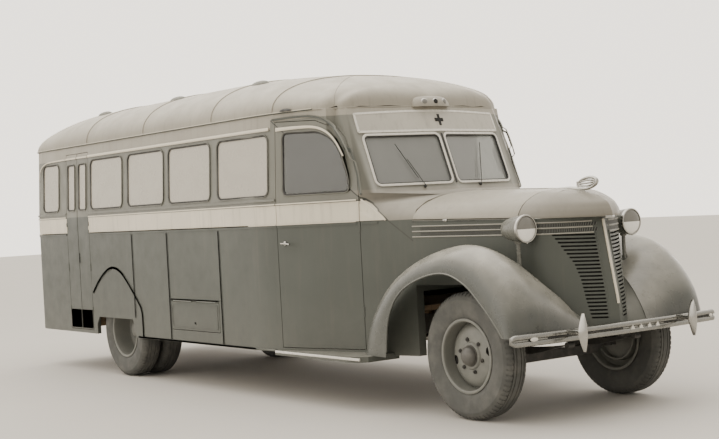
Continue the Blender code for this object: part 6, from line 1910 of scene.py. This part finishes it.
class TRUCK_OT_rear(bpy.types.Operator):
    """Mount the rear lamps, the rear doors' pull and their trim"""
    bl_idname = "truck.rear"
    bl_label = "Rear end"

    def execute(self, context):
        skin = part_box("rear_wall")[0].x + 0.006
        limit = CAD_LOW.x + 0.001
        # flush pull and keeper on the leaf that shuts last
        parts = [block((skin - 0.0045, -0.128, 1.185), (skin + 0.001, -0.048, 1.245), 0.0015),
                 rope_mesh([(skin - 0.001, -0.115, 1.215), (skin - 0.001, -0.060, 1.215)], 0.004, 8)]
        piece("rear_pull", gather(parts), "chrome", 40, NODE_BODY["right_rear_door"])
        for side, word in SIDES:
            spot = Vector((skin, side * 0.665, 0.92))
            housing = dome(spot + Vector((0.002, 0, 0)), (-1, 0, 0), 0.042, 0.024, 32, 5)
            lens = dome(spot - Vector((0.018, 0, 0)), (-1, 0, 0), 0.030, 0.011, 28, 5)
            for bm in (housing, lens):
                held(bm, 0, limit)
            piece("tail_lamp_" + word, housing, "chrome", 50)
            piece("tail_lens_" + word, lens, "red_lens", 50)
            body = NODE_BODY[word + "_rear_door"]
            y0, y1 = sorted((side * 0.012, side * 0.572))
            for name, z, wide, finish in (("rail", 1.697, 0.010, "pillar"), ("band_rail", 1.660, 0.0055, "band"),
                                          ("band_foot", 1.4865, 0.0035, "band")):
                piece(f"rear_{name}_{word}", block((skin - 0.0045, y0, z - wide), (skin + 0.001, y1, z + wide), 0.0015),
                      finish, 40, body, slot="light_paint")
        return {"FINISHED"}


GROUPS = (TruckPaint, TruckStage)
OPERATORS = (
    TRUCK_OT_camera, TRUCK_OT_stage, TRUCK_OT_panels, TRUCK_OT_roof, TRUCK_OT_roof_trim, TRUCK_OT_fenders,
    TRUCK_OT_bonnet, TRUCK_OT_grille, TRUCK_OT_tyres, TRUCK_OT_wheels, TRUCK_OT_bumper, TRUCK_OT_headlamps,
    TRUCK_OT_panes, TRUCK_OT_side_trim, TRUCK_OT_doors, TRUCK_OT_screen, TRUCK_OT_seats, TRUCK_OT_rear,
)


class TRUCK_PT_sidebar(bpy.types.Panel):
    """The truck's colours and its steps, in order"""
    bl_idname = "TRUCK_PT_sidebar"
    bl_label = "Ambulance Truck"
    bl_space_type = "VIEW_3D"
    bl_region_type = "UI"
    bl_category = "Ambulance"

    def draw(self, context):
        for group in (context.scene.truck_paint, context.scene.truck_stage):
            box = self.layout.box()
            for key in group.__annotations__:
                box.prop(group, key)
        for operator in OPERATORS:
            self.layout.operator(operator.bl_idname)


def register():
    for cls in GROUPS + OPERATORS + (TRUCK_PT_sidebar,):
        bpy.utils.register_class(cls)
    bpy.types.Scene.truck_paint = bpy.props.PointerProperty(type=TruckPaint)
    bpy.types.Scene.truck_stage = bpy.props.PointerProperty(type=TruckStage)


def unregister():
    del bpy.types.Scene.truck_stage
    del bpy.types.Scene.truck_paint
    for cls in reversed(GROUPS + OPERATORS + (TRUCK_PT_sidebar,)):
        bpy.utils.unregister_class(cls)


def main():
    register()
    for operator in OPERATORS:
        getattr(bpy.ops.truck, operator.bl_idname.split(".")[1])()


if __name__ == "__main__":
    main()
